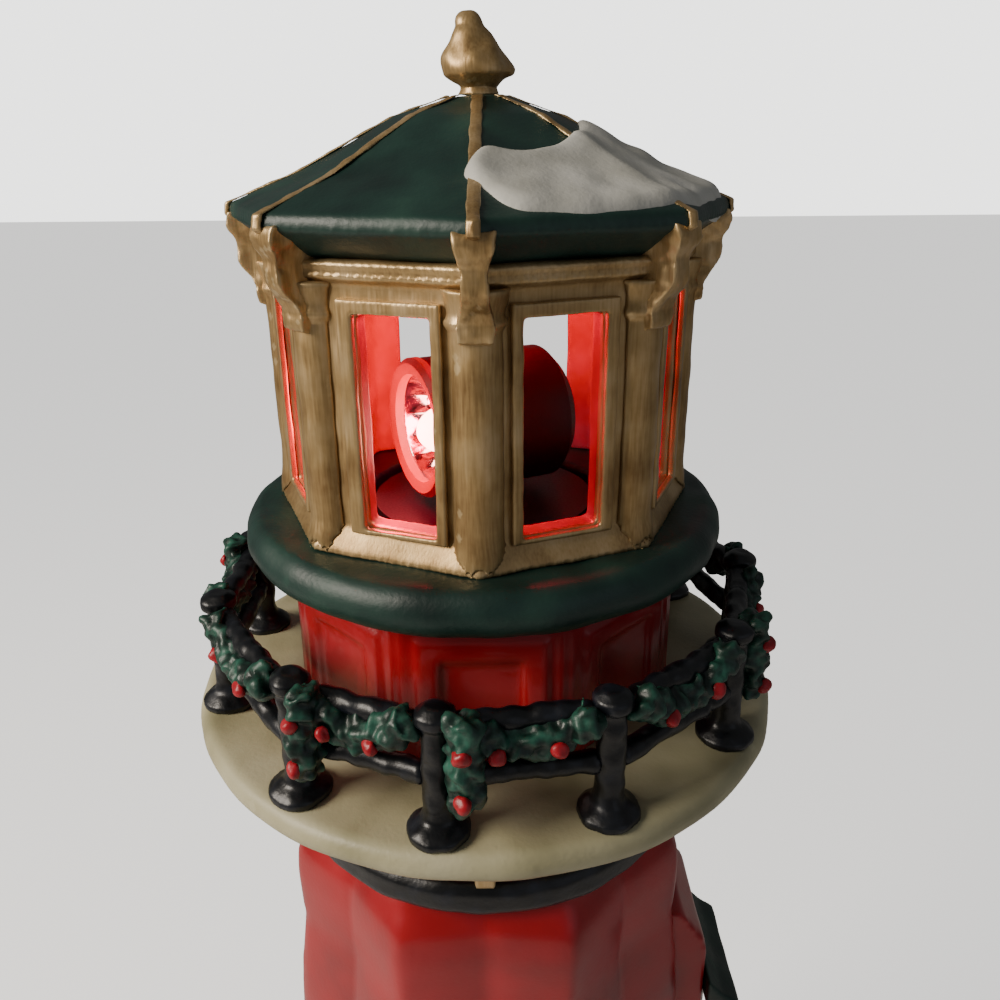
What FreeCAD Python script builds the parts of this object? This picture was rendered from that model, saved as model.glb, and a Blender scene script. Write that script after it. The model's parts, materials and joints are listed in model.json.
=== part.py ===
"""Garden lighthouse ornament with a lit, turning beacon.

Units are millimetres. The origin is on the ground under the middle of the tower, +Z is up and the front is -Y.
Heights whose names end in "rise" or "drop" are measured up or down from the middle of the gallery deck.
"""
import FreeCAD, Part
import os
import re
import Sketcher

doc = FreeCAD.newDocument("garden_lighthouse")
UP = FreeCAD.Vector(0, 0, 1)
SIDES = 8  # the tower, the lantern and the roof are all octagons
FACE_TURN = 180 / SIDES  # turns an octagon so that a face, not a corner, looks forward

# ---------------------------------------------------------------- driving sizes
SIZES = {
    "gallery_height": (168, "ground to the middle of the gallery deck"),
    "gallery_radius": (32, "gallery deck, to its rounded edge"),
    "gallery_thickness": (3, "gallery deck"),
    "wire_hole": (3, "radius of the hole through the gallery deck"),
    "tower_neck_radius": (21.2, "tower under the gallery, to a corner"),
    "shoulder_radius": (23.7, "rounded shoulder at the top of the tower"),
    "shoulder_drop": (21.5, "middle of the shoulder"),
    "waist_radius": (23.4, "tower just below its shoulder"),
    "waist_flare": (1.4, "how far the tower flares below its waist"),
    "taper_top": (18, "shoulder to the top of the long taper"),
    "tower_foot_radius": (31.5, "tower where it meets the plinth"),
    "tower_wall": (2.6, "wall of the tower"),
    "groove_radius": (0.45, "groove down each corner of the tower and the watch room"),
    "panel_width": (12.5, "raised panel on each tower face, at its top"),
    "panel_lift": (0.45, "how far a raised panel stands out"),
    "panel_corner": (2.2, "rounded corners of a raised panel"),
    "band_radius": (22.7, "black band under the gallery"),
    "band_drop": (13, "middle of the black band"),
    "band_height": (3.8, "black band"),
    "corbel_size": (2.2, "small blocks between the band and the deck"),
    "plinth_radius": (44, "plinth at the ground, to a corner"),
    "plinth_top_radius": (34.5, "plinth under the tower"),
    "plinth_height": (20, "top of the plinth"),
    "plinth_wall": (4, "wall of the plinth"),
    "foot_height": (1.2, "rubber feet, which lift the plinth"),
    "foot_radius": (3.2, "rubber feet"),
    "foot_circle": (31.5, "middle of each rubber foot from the axis"),
    "watch_radius": (21, "watch room, to a corner"),
    "watch_wall": (2.3, "wall of the watch room"),
    "watch_rise": (17.9, "top of the watch room"),
    "ledge_width": (1.5, "ledge inside the watch room, under the motor plate"),
    "deck_radius": (25.1, "lantern deck, to its rounded edge"),
    "deck_thickness": (4.5, "lantern deck"),
    "deck_bore": (12.6, "radius of the hole in the lantern deck"),
    "lantern_radius": (20.5, "lantern wall, to a corner"),
    "lantern_wall": (2.6, "wall of the lantern"),
    "lantern_height": (26, "lantern deck to the roof"),
    "sill_radius": (21.8, "splayed foot of the lantern, to a corner"),
    "sill_height": (2.6, "splayed foot of the lantern"),
    "lintel_radius": (21.5, "double bead over the windows, to a corner"),
    "lintel_height": (1.8, "double bead over the windows"),
    "window_width": (7.2, "opening in each lantern face"),
    "window_height": (19, "opening in each lantern face"),
    "window_sill": (2.8, "lantern deck to the opening"),
    "trim_width": (1.15, "raised moulding round each opening"),
    "trim_lift": (0.7, "how far that moulding stands out"),
    "pilaster_radius": (2.35, "half-round pilaster at each corner"),
    "pilaster_circle": (18.95, "middle of a pilaster from the axis"),
    "capital_radius": (2.75, "top of a pilaster"),
    "capital_height": (3.2, "top of a pilaster"),
    "eaves_radius": (24.1, "roof at its eaves, to a corner"),
    "eaves_lift": (2.4, "lantern top to the lower lip of the eaves"),
    "eaves_edge": (1.4, "rounded edge of the eaves"),
    "roof_height": (12.6, "lantern top to the neck of the finial"),
    "neck_radius": (2.6, "roof where the finial stands"),
    "rib_lift": (0.4, "how far a gold rib stands out of the roof"),
    "rib_width": (1.1, "gold rib on each hip"),
    "bracket_width": (3.0, "scroll bracket under each corner of the eaves"),
    "bracket_drop": (5.4, "how far a bracket reaches below the lantern top"),
    "snow_depth": (0.9, "patch of snow on the roof"),
    "finial_radius": (3.05, "finial at its widest"),
    "finial_height": (6.9, "finial"),
    "post_count": (11, "posts round the gallery"),
    "post_circle": (28.5, "middle of a post from the axis"),
    "post_turn": (-7.6, "degrees from the front to the first post"),
    "post_radius": (1.35, "stem of a post"),
    "post_height": (13, "deck to the top of a post"),
    "flange_radius": (2.9, "foot of a post"),
    "cap_radius": (1.8, "cap of a post"),
    "rail_radius": (0.85, "two bars between posts"),
    "low_rail_height": (5.8, "deck to the lower bar"),
    "top_rail_height": (10.9, "deck to the upper bar"),
    "garland_radius": (1.45, "moulded garland"),
    "garland_sag": (2.6, "how far the garland hangs between posts"),
    "garland_tail": (8.4, "length of a garland tail beside a post"),
    "berry_radius": (0.85, "moulded berries"),
    "beacon_radius": (7, "housing of the beacon"),
    "beacon_length": (15.6, "housing of the beacon, with its rim"),
    "beacon_wall": (1, "housing of the beacon"),
    "beacon_rise": (30.3, "middle of the beacon"),
    "beacon_heading": (207, "degrees from +X to where the lens looks"),
    "rim_length": (1.2, "thick rim round the lens"),
    "reflector_depth": (5.5, "dished reflector"),
    "lamp_radius": (1.7, "lamp in the reflector"),
    "turntable_radius": (11.6, "round floor that turns with the beacon"),
    "turntable_thickness": (1.3, "round floor that turns with the beacon"),
    "shaft_radius": (1, "drive shaft"),
    "gear_teeth": (30, "gear on the drive shaft"),
    "pinion_teeth": (10, "pinion on the motor"),
    "tooth_module": (0.45, "size of the teeth"),
    "gear_width": (2, "gear and pinion"),
    "plate_rise": (12.2, "underside of the motor plate"),
    "plate_thickness": (1.6, "motor plate"),
    "motor_radius": (4.6, "motor"),
    "motor_length": (9.5, "motor"),
    "run_gap": (0.05, "radial clearance of a running fit"),
    "gear_gap": (0.1, "extra room between the teeth"),
    "seat_gap": (0.15, "clearance round a piece that drops into place"),
    "free_gap": (0.4, "clearance between pieces that pass each other"),
    "screw_radius": (0.8, "screws of the motor plate"),
    "base_thickness": (2, "base plate"),
    "base_radius": (38, "base plate, to a corner"),
    "base_rim": (6, "rim inside the plinth that the base plate is screwed to"),
    "base_screw_radius": (1.5, "screws of the base plate"),
    "box_length": (47, "battery box, left to right"),
    "box_depth": (35, "battery box, front to back"),
    "box_height": (12.4, "battery box"),
    "box_wall": (1.2, "battery box"),
    "battery_count": (3, "batteries side by side"),
    "battery_radius": (5.2, "battery"),
    "battery_length": (43, "battery"),
    "door_length": (40, "battery door, left to right"),
    "door_depth": (28, "battery door, front to back"),
    "tongue_width": (1, "tongues of the battery door, which run in the base plate's grooves"),
    "tongue_thickness": (0.6, "tongues of the battery door"),
    "door_travel": (4, "how far the battery door slides"),
    "switch_x": (0, "switch, left to right"),
    "switch_y": (26, "switch, behind the battery box"),
    "switch_length": (9, "switch body"),
    "slider_travel": (3, "how far the switch slides"),
    "entry_width": (13, "door at the foot of the tower"),
    "entry_height": (24, "door at the foot of the tower"),
    "bay_reach": (27.4, "bay on the right, from the axis"),
    "bay_drop": (31, "top of the bay"),
    "bay_width": (15, "bay, front to back"),
    "bay_height": (46, "bay"),
    "bay_roof_reach": (31.6, "little roof of the bay, from the axis"),
}

sheet = doc.addObject("Spreadsheet::Sheet", "Sizes")
for row, (alias, (number, note)) in enumerate(SIZES.items(), start=1):
    sheet.set(f"A{row}", alias)
    sheet.set(f"B{row}", str(number))
    sheet.setAlias(f"B{row}", alias)
    sheet.set(f"C{row}", note)
doc.recompute()


def formula(text):
    """The same formula with each size name turned into its sheet cell."""
    return re.sub(r"[a-z][a-z_]*", lambda word: "Sizes." + word[0] if word[0] in SIZES else word[0], str(text))


def value(text):
    """What a formula comes to, in millimetres or degrees."""
    result = sheet.evalExpression(formula(text))
    return float(getattr(result, "Value", result))


def bind(thing, **properties):
    for name, text in properties.items():
        thing.setExpression(name, formula(text))
    return thing


def place(thing, x="0", y="0", z="0"):
    for axis, text in (("x", x), ("y", y), ("z", z)):
        thing.setExpression("Placement.Base." + axis, formula(text))
    return thing


# ---------------------------------------------------------------- ways of making a piece
def prism(name, radius, low, high, turn=0.0):
    """An upright octagonal prism, with its corners at the radius."""
    solid = doc.addObject("Part::Prism", name)
    solid.Polygon = SIDES
    bind(solid, Circumradius=radius, Height=f"({high}) - ({low})")
    solid.Placement = FreeCAD.Placement(FreeCAD.Vector(), FreeCAD.Rotation(UP, turn))
    return place(solid, z=low)


def flat_faces(a, b, c, d):
    """One face through four corners, or two triangles where the corners aren't in one plane."""
    level = abs((b - a).cross(c - a).dot(d - a)) < 1e-6
    loops = [[a, b, c, d]] if level else [[a, b, c], [a, c, d]]
    return [Part.Face(Part.makePolygon(loop + loop[:1])) for loop in loops]


def skin(loops):
    """The solid between flat loops of as many points each, with flat sides."""
    faces = [Part.Face(Part.makePolygon(loop + loop[:1])) for loop in (loops[0], loops[-1])]
    for low, high in zip(loops, loops[1:]):
        for i in range(len(low)):
            j = (i + 1) % len(low)
            faces += flat_faces(low[i], low[j], high[j], high[i])
    solid = Part.makeSolid(Part.makeShell(faces))
    return solid if solid.Volume > 0 else solid.reversed()


def stack(name, levels, turn=0.0):
    """Octagonal solid with flat sides between its levels, each (corner radius, height)."""
    loops = []
    for radius, height in levels:
        corners = [around(value(radius), turn + 360 * i / SIDES, value(height)) for i in range(SIDES)]
        loops.append(corners)
    return finished(name, skin(loops))


def around(radius, angle, height):
    """The point at a radius and an angle in degrees from +X."""
    turn = FreeCAD.Rotation(UP, angle)
    return turn.multVec(FreeCAD.Vector(radius, 0, 0)) + FreeCAD.Vector(0, 0, height)


def cylinder(name, radius, height, x="0", y="0", z="0"):
    rod = doc.addObject("Part::Cylinder", name)
    bind(rod, Radius=radius, Height=height)
    return place(rod, x, y, z)


def block(name, length, width, height, x, y, z):
    """A box; x and y are its middle, z is its underside."""
    box = doc.addObject("Part::Box", name)
    bind(box, Length=length, Width=width, Height=height)
    return place(box, f"({x}) - ({length}) / 2", f"({y}) - ({width}) / 2", z)


def cut(name, base, *tools):
    if len(tools) > 1:
        tools = (fuse(name + "_tools", *tools),)
    result = doc.addObject("Part::Cut", name)
    result.Base = base
    result.Tool = tools[0]
    return result


def fuse(name, *pieces):
    result = doc.addObject("Part::MultiFuse", name)
    result.Shapes = list(pieces)
    return result


def common(name, first, second):
    result = doc.addObject("Part::MultiCommon", name)
    result.Shapes = [first, second]
    return result


def origin_plane(body, role):
    return next(plane for plane in body.Origin.OriginFeatures if plane.Role == role)


def outline(body, plane, points, height="0"):
    """A bound, closed outline on one of the body's origin planes.

    Each point is (across, up), or (across, up, radius) where an arc that bulges outward runs to the next point.
    """
    sketch = body.newObject("Sketcher::SketchObject", body.Name + "_outline")
    sketch.AttachmentSupport = (origin_plane(body, plane), [""])
    sketch.MapMode = "FlatFace"
    sketch.setExpression("AttachmentOffset.Base.z", formula(height))
    spots = [FreeCAD.Vector(value(point[0]), value(point[1]), 0) for point in points]
    starts = []
    for i, point in enumerate(points):
        here = spots[i]
        there = spots[(i + 1) % len(points)]
        if len(point) == 2:
            curve = Part.LineSegment(here, there)
        else:
            radius = value(point[2])
            half = (there - here) * 0.5
            side = half.cross(UP).normalize()
            rise = radius - (radius ** 2 - half.Length ** 2) ** 0.5
            curve = Part.Arc(here, here + half + side * rise, there)
        geometry = sketch.addGeometry(curve, False)
        first = sketch.getPoint(geometry, 1)
        starts.append(1 if (first - here).Length < (first - there).Length else 2)
    for i, point in enumerate(points):
        before = (i - 1) % len(points)
        start = starts[i]
        sketch.addConstraint(Sketcher.Constraint("Coincident", before, 3 - starts[before], i, start))
        for kind, spot, text, axis in (("DistanceX", spots[i].x, point[0], -2), ("DistanceY", spots[i].y, point[1], -1)):
            if abs(spot) < 1e-9:
                sketch.addConstraint(Sketcher.Constraint("PointOnObject", i, start, axis))
                continue
            number = sketch.addConstraint(Sketcher.Constraint(kind, -1, 1, i, start, spot))
            sketch.setExpression(f"Constraints[{number}]", formula(text))
        if len(point) == 3:
            number = sketch.addConstraint(Sketcher.Constraint("Radius", i, value(point[2])))
            sketch.setExpression(f"Constraints[{number}]", formula(point[2]))
    return sketch


def turned(name, points):
    """A piece turned about the upright axis from an outline of (radius, height)."""
    body = doc.addObject("PartDesign::Body", name)
    sketch = outline(body, "XZ_Plane", points)
    turn = body.newObject("PartDesign::Revolution", name + "_turn")
    turn.Profile = sketch
    turn.ReferenceAxis = (sketch, ["V_Axis"])
    turn.Angle = 360
    return body


def padded(name, plane, points, length, height="0", midplane=False):
    """A flat outline given a thickness."""
    body = doc.addObject("PartDesign::Body", name)
    sketch = outline(body, plane, points, height)
    pad = body.newObject("PartDesign::Pad", name + "_pad")
    pad.Profile = sketch
    pad.Midplane = midplane
    bind(pad, Length=length)
    return body


def rectangle(length, width, x="0", y="0"):
    return [
        (f"{x} - ({length}) / 2", f"{y} - ({width}) / 2"),
        (f"{x} + ({length}) / 2", f"{y} - ({width}) / 2"),
        (f"{x} + ({length}) / 2", f"{y} + ({width}) / 2"),
        (f"{x} - ({length}) / 2", f"{y} + ({width}) / 2"),
    ]


def ring_of(name, source, count, first=0.0):
    """Copies of a finished piece, spaced evenly round the upright axis."""
    doc.recompute()
    copies = []
    for i in range(round(count)):
        copy = source.Shape.copy()
        copy.rotate(FreeCAD.Vector(), UP, first + 360 * i / round(count))
        copies.append(copy)
    ring = doc.addObject("Part::Feature", name)
    ring.Shape = Part.makeCompound(copies)
    return ring


def finished(name, shape, position=FreeCAD.Vector()):
    """A free form made in code, moved to its place after its shape is set."""
    feature = doc.addObject("Part::Feature", name)
    feature.Shape = shape
    feature.Placement = FreeCAD.Placement(position, FreeCAD.Rotation())
    return feature


PARTS = []


def keep(piece, label):
    piece.Label = label
    PARTS.append(piece)
    return piece


# ---------------------------------------------------------------- heights shared by several pieces
DECK_TOP = "gallery_height + gallery_thickness / 2"
DECK_UNDER = "gallery_height - gallery_thickness / 2"
WATCH_TOP = "gallery_height + watch_rise"
LANTERN_FLOOR = "gallery_height + watch_rise + deck_thickness"
LANTERN_TOP = LANTERN_FLOOR + " + lantern_height"
NECK_TOP = LANTERN_TOP + " + roof_height"
PLATE_UNDER = "gallery_height + plate_rise"
PLATE_TOP = PLATE_UNDER + " + plate_thickness"
GEAR_UNDER = PLATE_TOP + " + free_gap"
TURNTABLE_TOP = LANTERN_FLOOR + " - free_gap"
BEACON_MIDDLE = "gallery_height + beacon_rise"
HUB_TOP = BEACON_MIDDLE + " - beacon_radius + beacon_wall * 0.9"
GEAR_DISTANCE = "tooth_module * (gear_teeth + pinion_teeth) / 2 + gear_gap"
FLAT = "cos(180 / 8)"  # from an octagon's corner radius to its flat


# ---------------------------------------------------------------- tower
def make_tower():
    """Tapered octagonal shell with a rounded shoulder, corner grooves and a raised panel on each face."""
    foot = "plinth_height"
    levels = [
        ("tower_foot_radius", foot),
        ("waist_radius + waist_flare", "gallery_height - shoulder_drop - taper_top"),
        ("waist_radius", "gallery_height - shoulder_drop - 7"),
        ("shoulder_radius", "gallery_height - shoulder_drop"),
        ("shoulder_radius - 0.3", "gallery_height - shoulder_drop + 3"),
        ("tower_neck_radius + 0.4", "gallery_height - shoulder_drop + 6.5"),
        ("tower_neck_radius", DECK_UNDER),
    ]
    outside = stack("tower_outside", levels, turn=FACE_TURN)
    hollow = stack("tower_hollow", [
        ("tower_foot_radius - tower_wall", foot),
        ("waist_radius + waist_flare - tower_wall", "gallery_height - shoulder_drop - taper_top"),
        ("tower_neck_radius - tower_wall", DECK_UNDER + " - 4"),
        ("wire_hole + 8", DECK_UNDER + " - 1.5"),
    ], turn=FACE_TURN)
    panel = tower_panel()
    panels = ring_of("tower_panels", panel, SIDES)
    body = fuse("tower_body", outside, panels)
    shell = cut("tower_shell", body, hollow, ring_of("tower_grooves", tower_groove(), SIDES, FACE_TURN))
    keep(shell, "tower")


def tower_slope():
    """How much the tower's corner radius grows for each millimetre down its long taper."""
    rise = value("gallery_height - shoulder_drop - taper_top - plinth_height")
    return value("tower_foot_radius - waist_radius - waist_flare") / rise


def tower_radius(height):
    """Corner radius of the long taper at a height."""
    joint = value("gallery_height - shoulder_drop - taper_top")
    return value("waist_radius + waist_flare") + tower_slope() * (joint - height)


def tower_panel():
    """One raised panel with cut corners at its top, leaning with the front face."""
    low = value("plinth_height + entry_height + 12")
    high = value("gallery_height - shoulder_drop - 7")
    flat = value(FLAT)
    corner = value("panel_corner")
    lift = value("panel_lift")
    loops = []
    for sink, shrink in ((1, 0), (-lift, lift)):
        bottom = low + shrink
        top = high - shrink
        half_low = value("panel_width / 2") * 1.2 - shrink
        half_top = value("panel_width / 2") - shrink
        face_low = tower_radius(low) * flat - sink
        face_top = tower_radius(value("gallery_height - shoulder_drop - taper_top")) * flat - sink
        slope = (face_low - face_top) / (high - low)
        flat_points = [(-half_low, bottom), (half_low, bottom), (half_top, top - corner), (half_top - corner, top),
                       (corner - half_top, top), (-half_top, top - corner)]
        loops.append([FreeCAD.Vector(x, -face_top - slope * (high - z), z) for x, z in flat_points])
    return finished("tower_panel", skin(loops))


def tower_groove():
    """A thin leaning rod that cuts the groove down one corner of the long taper."""
    low = value("plinth_height - 1")
    joint = value("gallery_height - shoulder_drop - taper_top")
    start = FreeCAD.Vector(tower_radius(low), 0, low)
    bend = FreeCAD.Vector(tower_radius(joint), 0, joint)
    end = FreeCAD.Vector(value("waist_radius"), 0, value("gallery_height - shoulder_drop - 7"))
    radius = value("groove_radius")
    rods = [Part.makeCylinder(radius, (b - a).Length, a, b - a) for a, b in ((start, bend), (bend, end))]
    return finished("tower_groove", rods[0].fuse(rods[1]))


def make_gallery_band():
    """Black band round the neck of the tower, just under the gallery."""
    low = "gallery_height - band_drop - band_height / 2"
    high = "gallery_height - band_drop + band_height / 2"
    band = turned("band_ring", [
        ("band_radius - 4", low),
        ("band_radius - 0.6", low),
        ("band_radius", low + " + 0.9"),
        ("band_radius", high + " - 0.9"),
        ("band_radius - 0.6", high),
        ("band_radius - 4", high),
    ])
    tower = doc.getObject("tower_outside")
    keep(cut("band_piece", band, tower), "gallery_band")


def make_corbels():
    """Small blocks between the band and the underside of the deck."""
    top = "gallery_height - band_drop + band_height / 2"
    one = block("corbel_block", "corbel_size * 2", "corbel_size", DECK_UNDER + " - (" + top + ")",
                "band_radius - corbel_size", "0", top)
    ring = ring_of("corbel_ring", one, SIDES, -90)
    keep(cut("corbel_piece", ring, doc.getObject("tower_outside")), "corbels")


def make_bay():
    """Bay on the right face: a sloping red head and body, with its own little roof."""
    top = "gallery_height - bay_drop"
    low = top + " - bay_height"
    head = padded("bay_solid", "XZ_Plane", [
        ("15", low),
        ("bay_reach", low + " + 4"),
        ("bay_reach", top + " - 7"),
        ("bay_reach - 0.6", top + " - 4.2"),
        ("bay_reach - 3.6", top),
        ("15", top + " + 1"),
    ], "bay_width", midplane=True)
    keep(cut("bay_piece", head, doc.getObject("tower_body")), "bay")
    roof = padded("bay_roof_solid", "XZ_Plane", [
        ("bay_reach", top + " - 11"),
        ("bay_roof_reach", top + " - 12.2"),
        ("bay_roof_reach + 0.2", top + " - 10.6"),
        ("bay_reach + 2.2", top + " - 9"),
        ("bay_reach", top + " - 6.6"),
    ], "bay_width + 5", midplane=True)
    keep(roof, "bay_roof")
    window = padded("bay_window_solid", "XZ_Plane", [
        ("bay_reach", top + " - 32"),
        ("bay_reach + 0.7", top + " - 32"),
        ("bay_reach + 0.7", top + " - 15"),
        ("bay_reach", top + " - 15"),
    ], "bay_width - 5", midplane=True)
    keep(window, "bay_window")


def make_entry():
    """Round-topped door at the foot of the tower and the step in front of it."""
    face = f"tower_foot_radius * {FLAT}"
    frame = padded("entry_outline", "XZ_Plane", [
        ("-entry_width / 2", "plinth_height"),
        ("entry_width / 2", "plinth_height"),
        ("entry_width / 2", "plinth_height + entry_height - entry_width / 2", "entry_width * 0.505"),
        ("-entry_width / 2", "plinth_height + entry_height - entry_width / 2"),
    ], "4", height=f"{face} - 2.6")
    keep(cut("entry_piece", frame, doc.getObject("tower_body")), "front_door")
    keep(block("step_piece", "entry_width + 4", "3", "2", "0", f"-({face}) - 1.4 - 1.5 - 0.1", "plinth_height"), "door_step")


# ---------------------------------------------------------------- plinth and what it holds
def make_plinth():
    under = "foot_height"
    outside = stack("plinth_outside", [
        ("plinth_radius", under),
        ("plinth_radius", under + " + 4"),
        ("plinth_radius - 1.6", under + " + 6"),
        ("plinth_top_radius + 4", "plinth_height - 3"),
        ("plinth_top_radius", "plinth_height"),
    ], turn=FACE_TURN)
    recess = prism("plinth_recess", "base_radius + seat_gap", under + " - 1", under + " + base_thickness", FACE_TURN)
    hollow = prism("plinth_hollow", "base_radius - base_rim", under, "plinth_height - plinth_wall", FACE_TURN)
    shaft = prism("plinth_shaft", "tower_foot_radius - tower_wall", under, "plinth_height + 1", FACE_TURN)
    keep(cut("plinth_piece", outside, recess, hollow, shaft), "plinth")


def make_base():
    """Base plate with the battery opening, the switch slot and its screws and feet."""
    under = "foot_height"
    top = under + " + base_thickness"
    plate = prism("base_outline", "base_radius", under, top, FACE_TURN)
    deep = "base_thickness + 2"
    opening = block("base_opening", "door_length + 2 * seat_gap", "door_depth + door_travel + 2 * seat_gap", deep,
                    "0", "-door_travel / 2", under + " - 1")
    rails = block("base_grooves", "door_length + 2 * tongue_width + 2 * seat_gap",
                  "door_depth + door_travel + 2 * seat_gap", "tongue_thickness + 2 * seat_gap",
                  "0", "-door_travel / 2", under + " + (base_thickness - tongue_thickness) / 2 - seat_gap")
    slot = block("base_slot", "2.4 + slider_travel + 2 * seat_gap", "2 + 2 * seat_gap", deep,
                 "switch_x", "switch_y", under + " - 1")
    screw_x = "base_radius - base_rim / 2"
    hole = cylinder("base_screw_hole", "base_screw_radius", deep, x=screw_x, z=under + " - 1")
    holes = ring_of("base_screw_holes", hole, 4, FACE_TURN)
    keep(cut("base_piece", plate, opening, rails, slot, holes), "base_plate")
    screw = cylinder("base_screw", "base_screw_radius", "base_thickness", x=screw_x, z=under)
    keep(ring_of("base_screw_ring", screw, 4, FACE_TURN), "base_screws")
    foot = cylinder("foot", "foot_radius", "foot_height", x="foot_circle", z="0")
    keep(ring_of("foot_ring", foot, 4, 45), "rubber_feet")
    door = block("door_leaf", "door_length", "door_depth", "base_thickness", "0", "0", under)
    tongue = block("door_tongues", "door_length + 2 * tongue_width", "door_depth - 4", "tongue_thickness", "0", "0",
                   under + " + (base_thickness - tongue_thickness) / 2")
    keep(fuse("door_piece", door, tongue), "battery_door")


def make_battery_box():
    floor = "foot_height + base_thickness"
    outer = block("box_outer", "box_length", "box_depth", "box_height", "0", "0", floor)
    inner = block("box_inner", "box_length - 2 * box_wall", "box_depth - 2 * box_wall", "box_height", "0", "0",
                  floor + " - box_wall")
    keep(cut("box_piece", outer, inner), "battery_box")
    cells = []
    pitch = value("2 * battery_radius + seat_gap")
    count = round(value("battery_count"))
    length = value("battery_length")
    height = value(floor + " + box_height - box_wall - battery_radius")
    for i in range(count):
        across = (i - (count - 1) / 2) * pitch
        start = FreeCAD.Vector(-length / 2, across, height)
        can = Part.makeCylinder(value("battery_radius"), length - 1, start, FreeCAD.Vector(1, 0, 0))
        nub = Part.makeCylinder(1.6, 1, start + FreeCAD.Vector(length - 1, 0, 0), FreeCAD.Vector(1, 0, 0))
        cells.append(can.fuse(nub))
    keep(finished("battery_cells", Part.makeCompound(cells)), "batteries")
    room = value("box_length / 2 - box_wall")
    plates = []
    for side in (-1, 1):
        thickness = room - length / 2
        middle = side * (room + length / 2) / 2
        plate = Part.makeBox(thickness, value("box_depth - 4 * box_wall"), 5,
                             FreeCAD.Vector(middle - thickness / 2, -value("box_depth / 2 - 2 * box_wall"), height - 2.5))
        plates.append(plate)
    keep(finished("contact_plates", Part.makeCompound(plates)), "battery_contacts")


def make_switch():
    """Slide switch: its body stands on the base plate and its slider reaches through the slot."""
    under = "foot_height"
    top = under + " + base_thickness"
    body = block("switch_outer", "switch_length", "4.4", "4", "switch_x", "switch_y", top)
    room = block("switch_room", "4 + slider_travel + 2 * seat_gap", "2.4 + 2 * seat_gap", "2.6", "switch_x", "switch_y", top + " - 1")
    keep(cut("switch_piece", body, room), "switch_body")
    start = "switch_x - slider_travel / 2"
    foot = block("slider_foot", "4", "2.4", "1", start, "switch_y", top + " + 0.2")
    stem = block("slider_stem", "2.4", "2", "base_thickness + 0.3", start, "switch_y", under + " - 0.1")
    keep(fuse("slider_piece", foot, stem), "switch_slider")


# ---------------------------------------------------------------- watch room and gallery
def make_watch_room():
    """Octagonal drum with a ledge inside for the motor plate and a raised panel on each face."""
    outside = prism("watch_outside", "watch_radius", DECK_TOP, WATCH_TOP, FACE_TURN)
    room = prism("watch_hollow", "watch_radius - watch_wall", PLATE_UNDER, WATCH_TOP + " + 1", FACE_TURN)
    lower = prism("watch_lower_hollow", "watch_radius - watch_wall - ledge_width", DECK_TOP + " - 1",
                  PLATE_UNDER + " + 1", FACE_TURN)
    flat = f"watch_radius * {FLAT}"
    frame = block("watch_frame", "panel_width - 0.5", "panel_lift + 1", "watch_rise - gallery_thickness / 2 - 4",
                  "0", f"-({flat}) - panel_lift / 2 + 0.5", DECK_TOP + " + 1.2")
    inset = block("watch_inset", "panel_width - 4.5", "panel_lift + 1", "watch_rise - gallery_thickness / 2 - 8",
                  "0", f"-({flat}) - panel_lift / 2 - 0.5", DECK_TOP + " + 3.2")
    panels = ring_of("watch_panels", cut("watch_panel", frame, inset), SIDES)
    groove = cylinder("watch_groove", "groove_radius", "watch_rise", x="watch_radius", z=DECK_TOP + " - 1")
    grooves = ring_of("watch_grooves", groove, SIDES, FACE_TURN)
    keep(cut("watch_piece", fuse("watch_body", outside, panels), room, lower, grooves), "watch_room")


def make_gallery_deck():
    keep(turned("gallery_disc", [
        ("wire_hole", DECK_UNDER),
        ("gallery_radius - gallery_thickness / 3", DECK_UNDER, "gallery_thickness * 0.56"),
        ("gallery_radius - gallery_thickness / 3", DECK_TOP),
        ("wire_hole", DECK_TOP),
    ]), "gallery_deck")


def make_railing():
    """Eleven turned posts with two straight bars from each post to the next."""
    top = DECK_TOP + " + post_height"
    post = turned("post_pattern", [
        ("0", DECK_TOP),
        ("flange_radius", DECK_TOP),
        ("flange_radius", DECK_TOP + " + 0.7"),
        ("flange_radius - 0.6", DECK_TOP + " + 1.2"),
        ("post_radius + 0.2", DECK_TOP + " + 1.7"),
        ("post_radius", DECK_TOP + " + 2.6"),
        ("post_radius", top + " - 2"),
        ("cap_radius", top + " - 1.5"),
        ("cap_radius", top + " - 0.6"),
        ("cap_radius * 0.5", top),
        ("0", top),
    ])
    bind(post, **{"Placement.Base.y": "-post_circle"})
    first = value("post_turn")
    posts = ring_of("post_ring", post, value("post_count"), first)
    keep(posts, "railing_posts")
    bars = []
    step = 360 / round(value("post_count"))
    for height in ("low_rail_height", "top_rail_height"):
        start = FreeCAD.Vector(0, -value("post_circle"), value(DECK_TOP + " + " + height))
        end = FreeCAD.Rotation(UP, step).multVec(start)
        bars.append(Part.makeCylinder(value("rail_radius"), (end - start).Length, start, end - start))
    bay = finished("rail_pair", Part.makeCompound(bars))
    rails = ring_of("rail_ring", bay, value("post_count"), first)
    keep(cut("rail_piece", rails, posts), "railing_rails")


def post_angles():
    """Degrees from +X to each post, from the first one round."""
    count = round(value("post_count"))
    return [-90 + value("post_turn") + 360 * i / count for i in range(count)]


def berry_on(spot, angle, depth):
    """A berry that stands out of the garland, away from the axis, in front of a point on its middle line."""
    outward = around(1, angle, 0)
    return Part.makeSphere(value("berry_radius"), spot + outward * depth, outward, -90, 90, 360)


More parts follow.
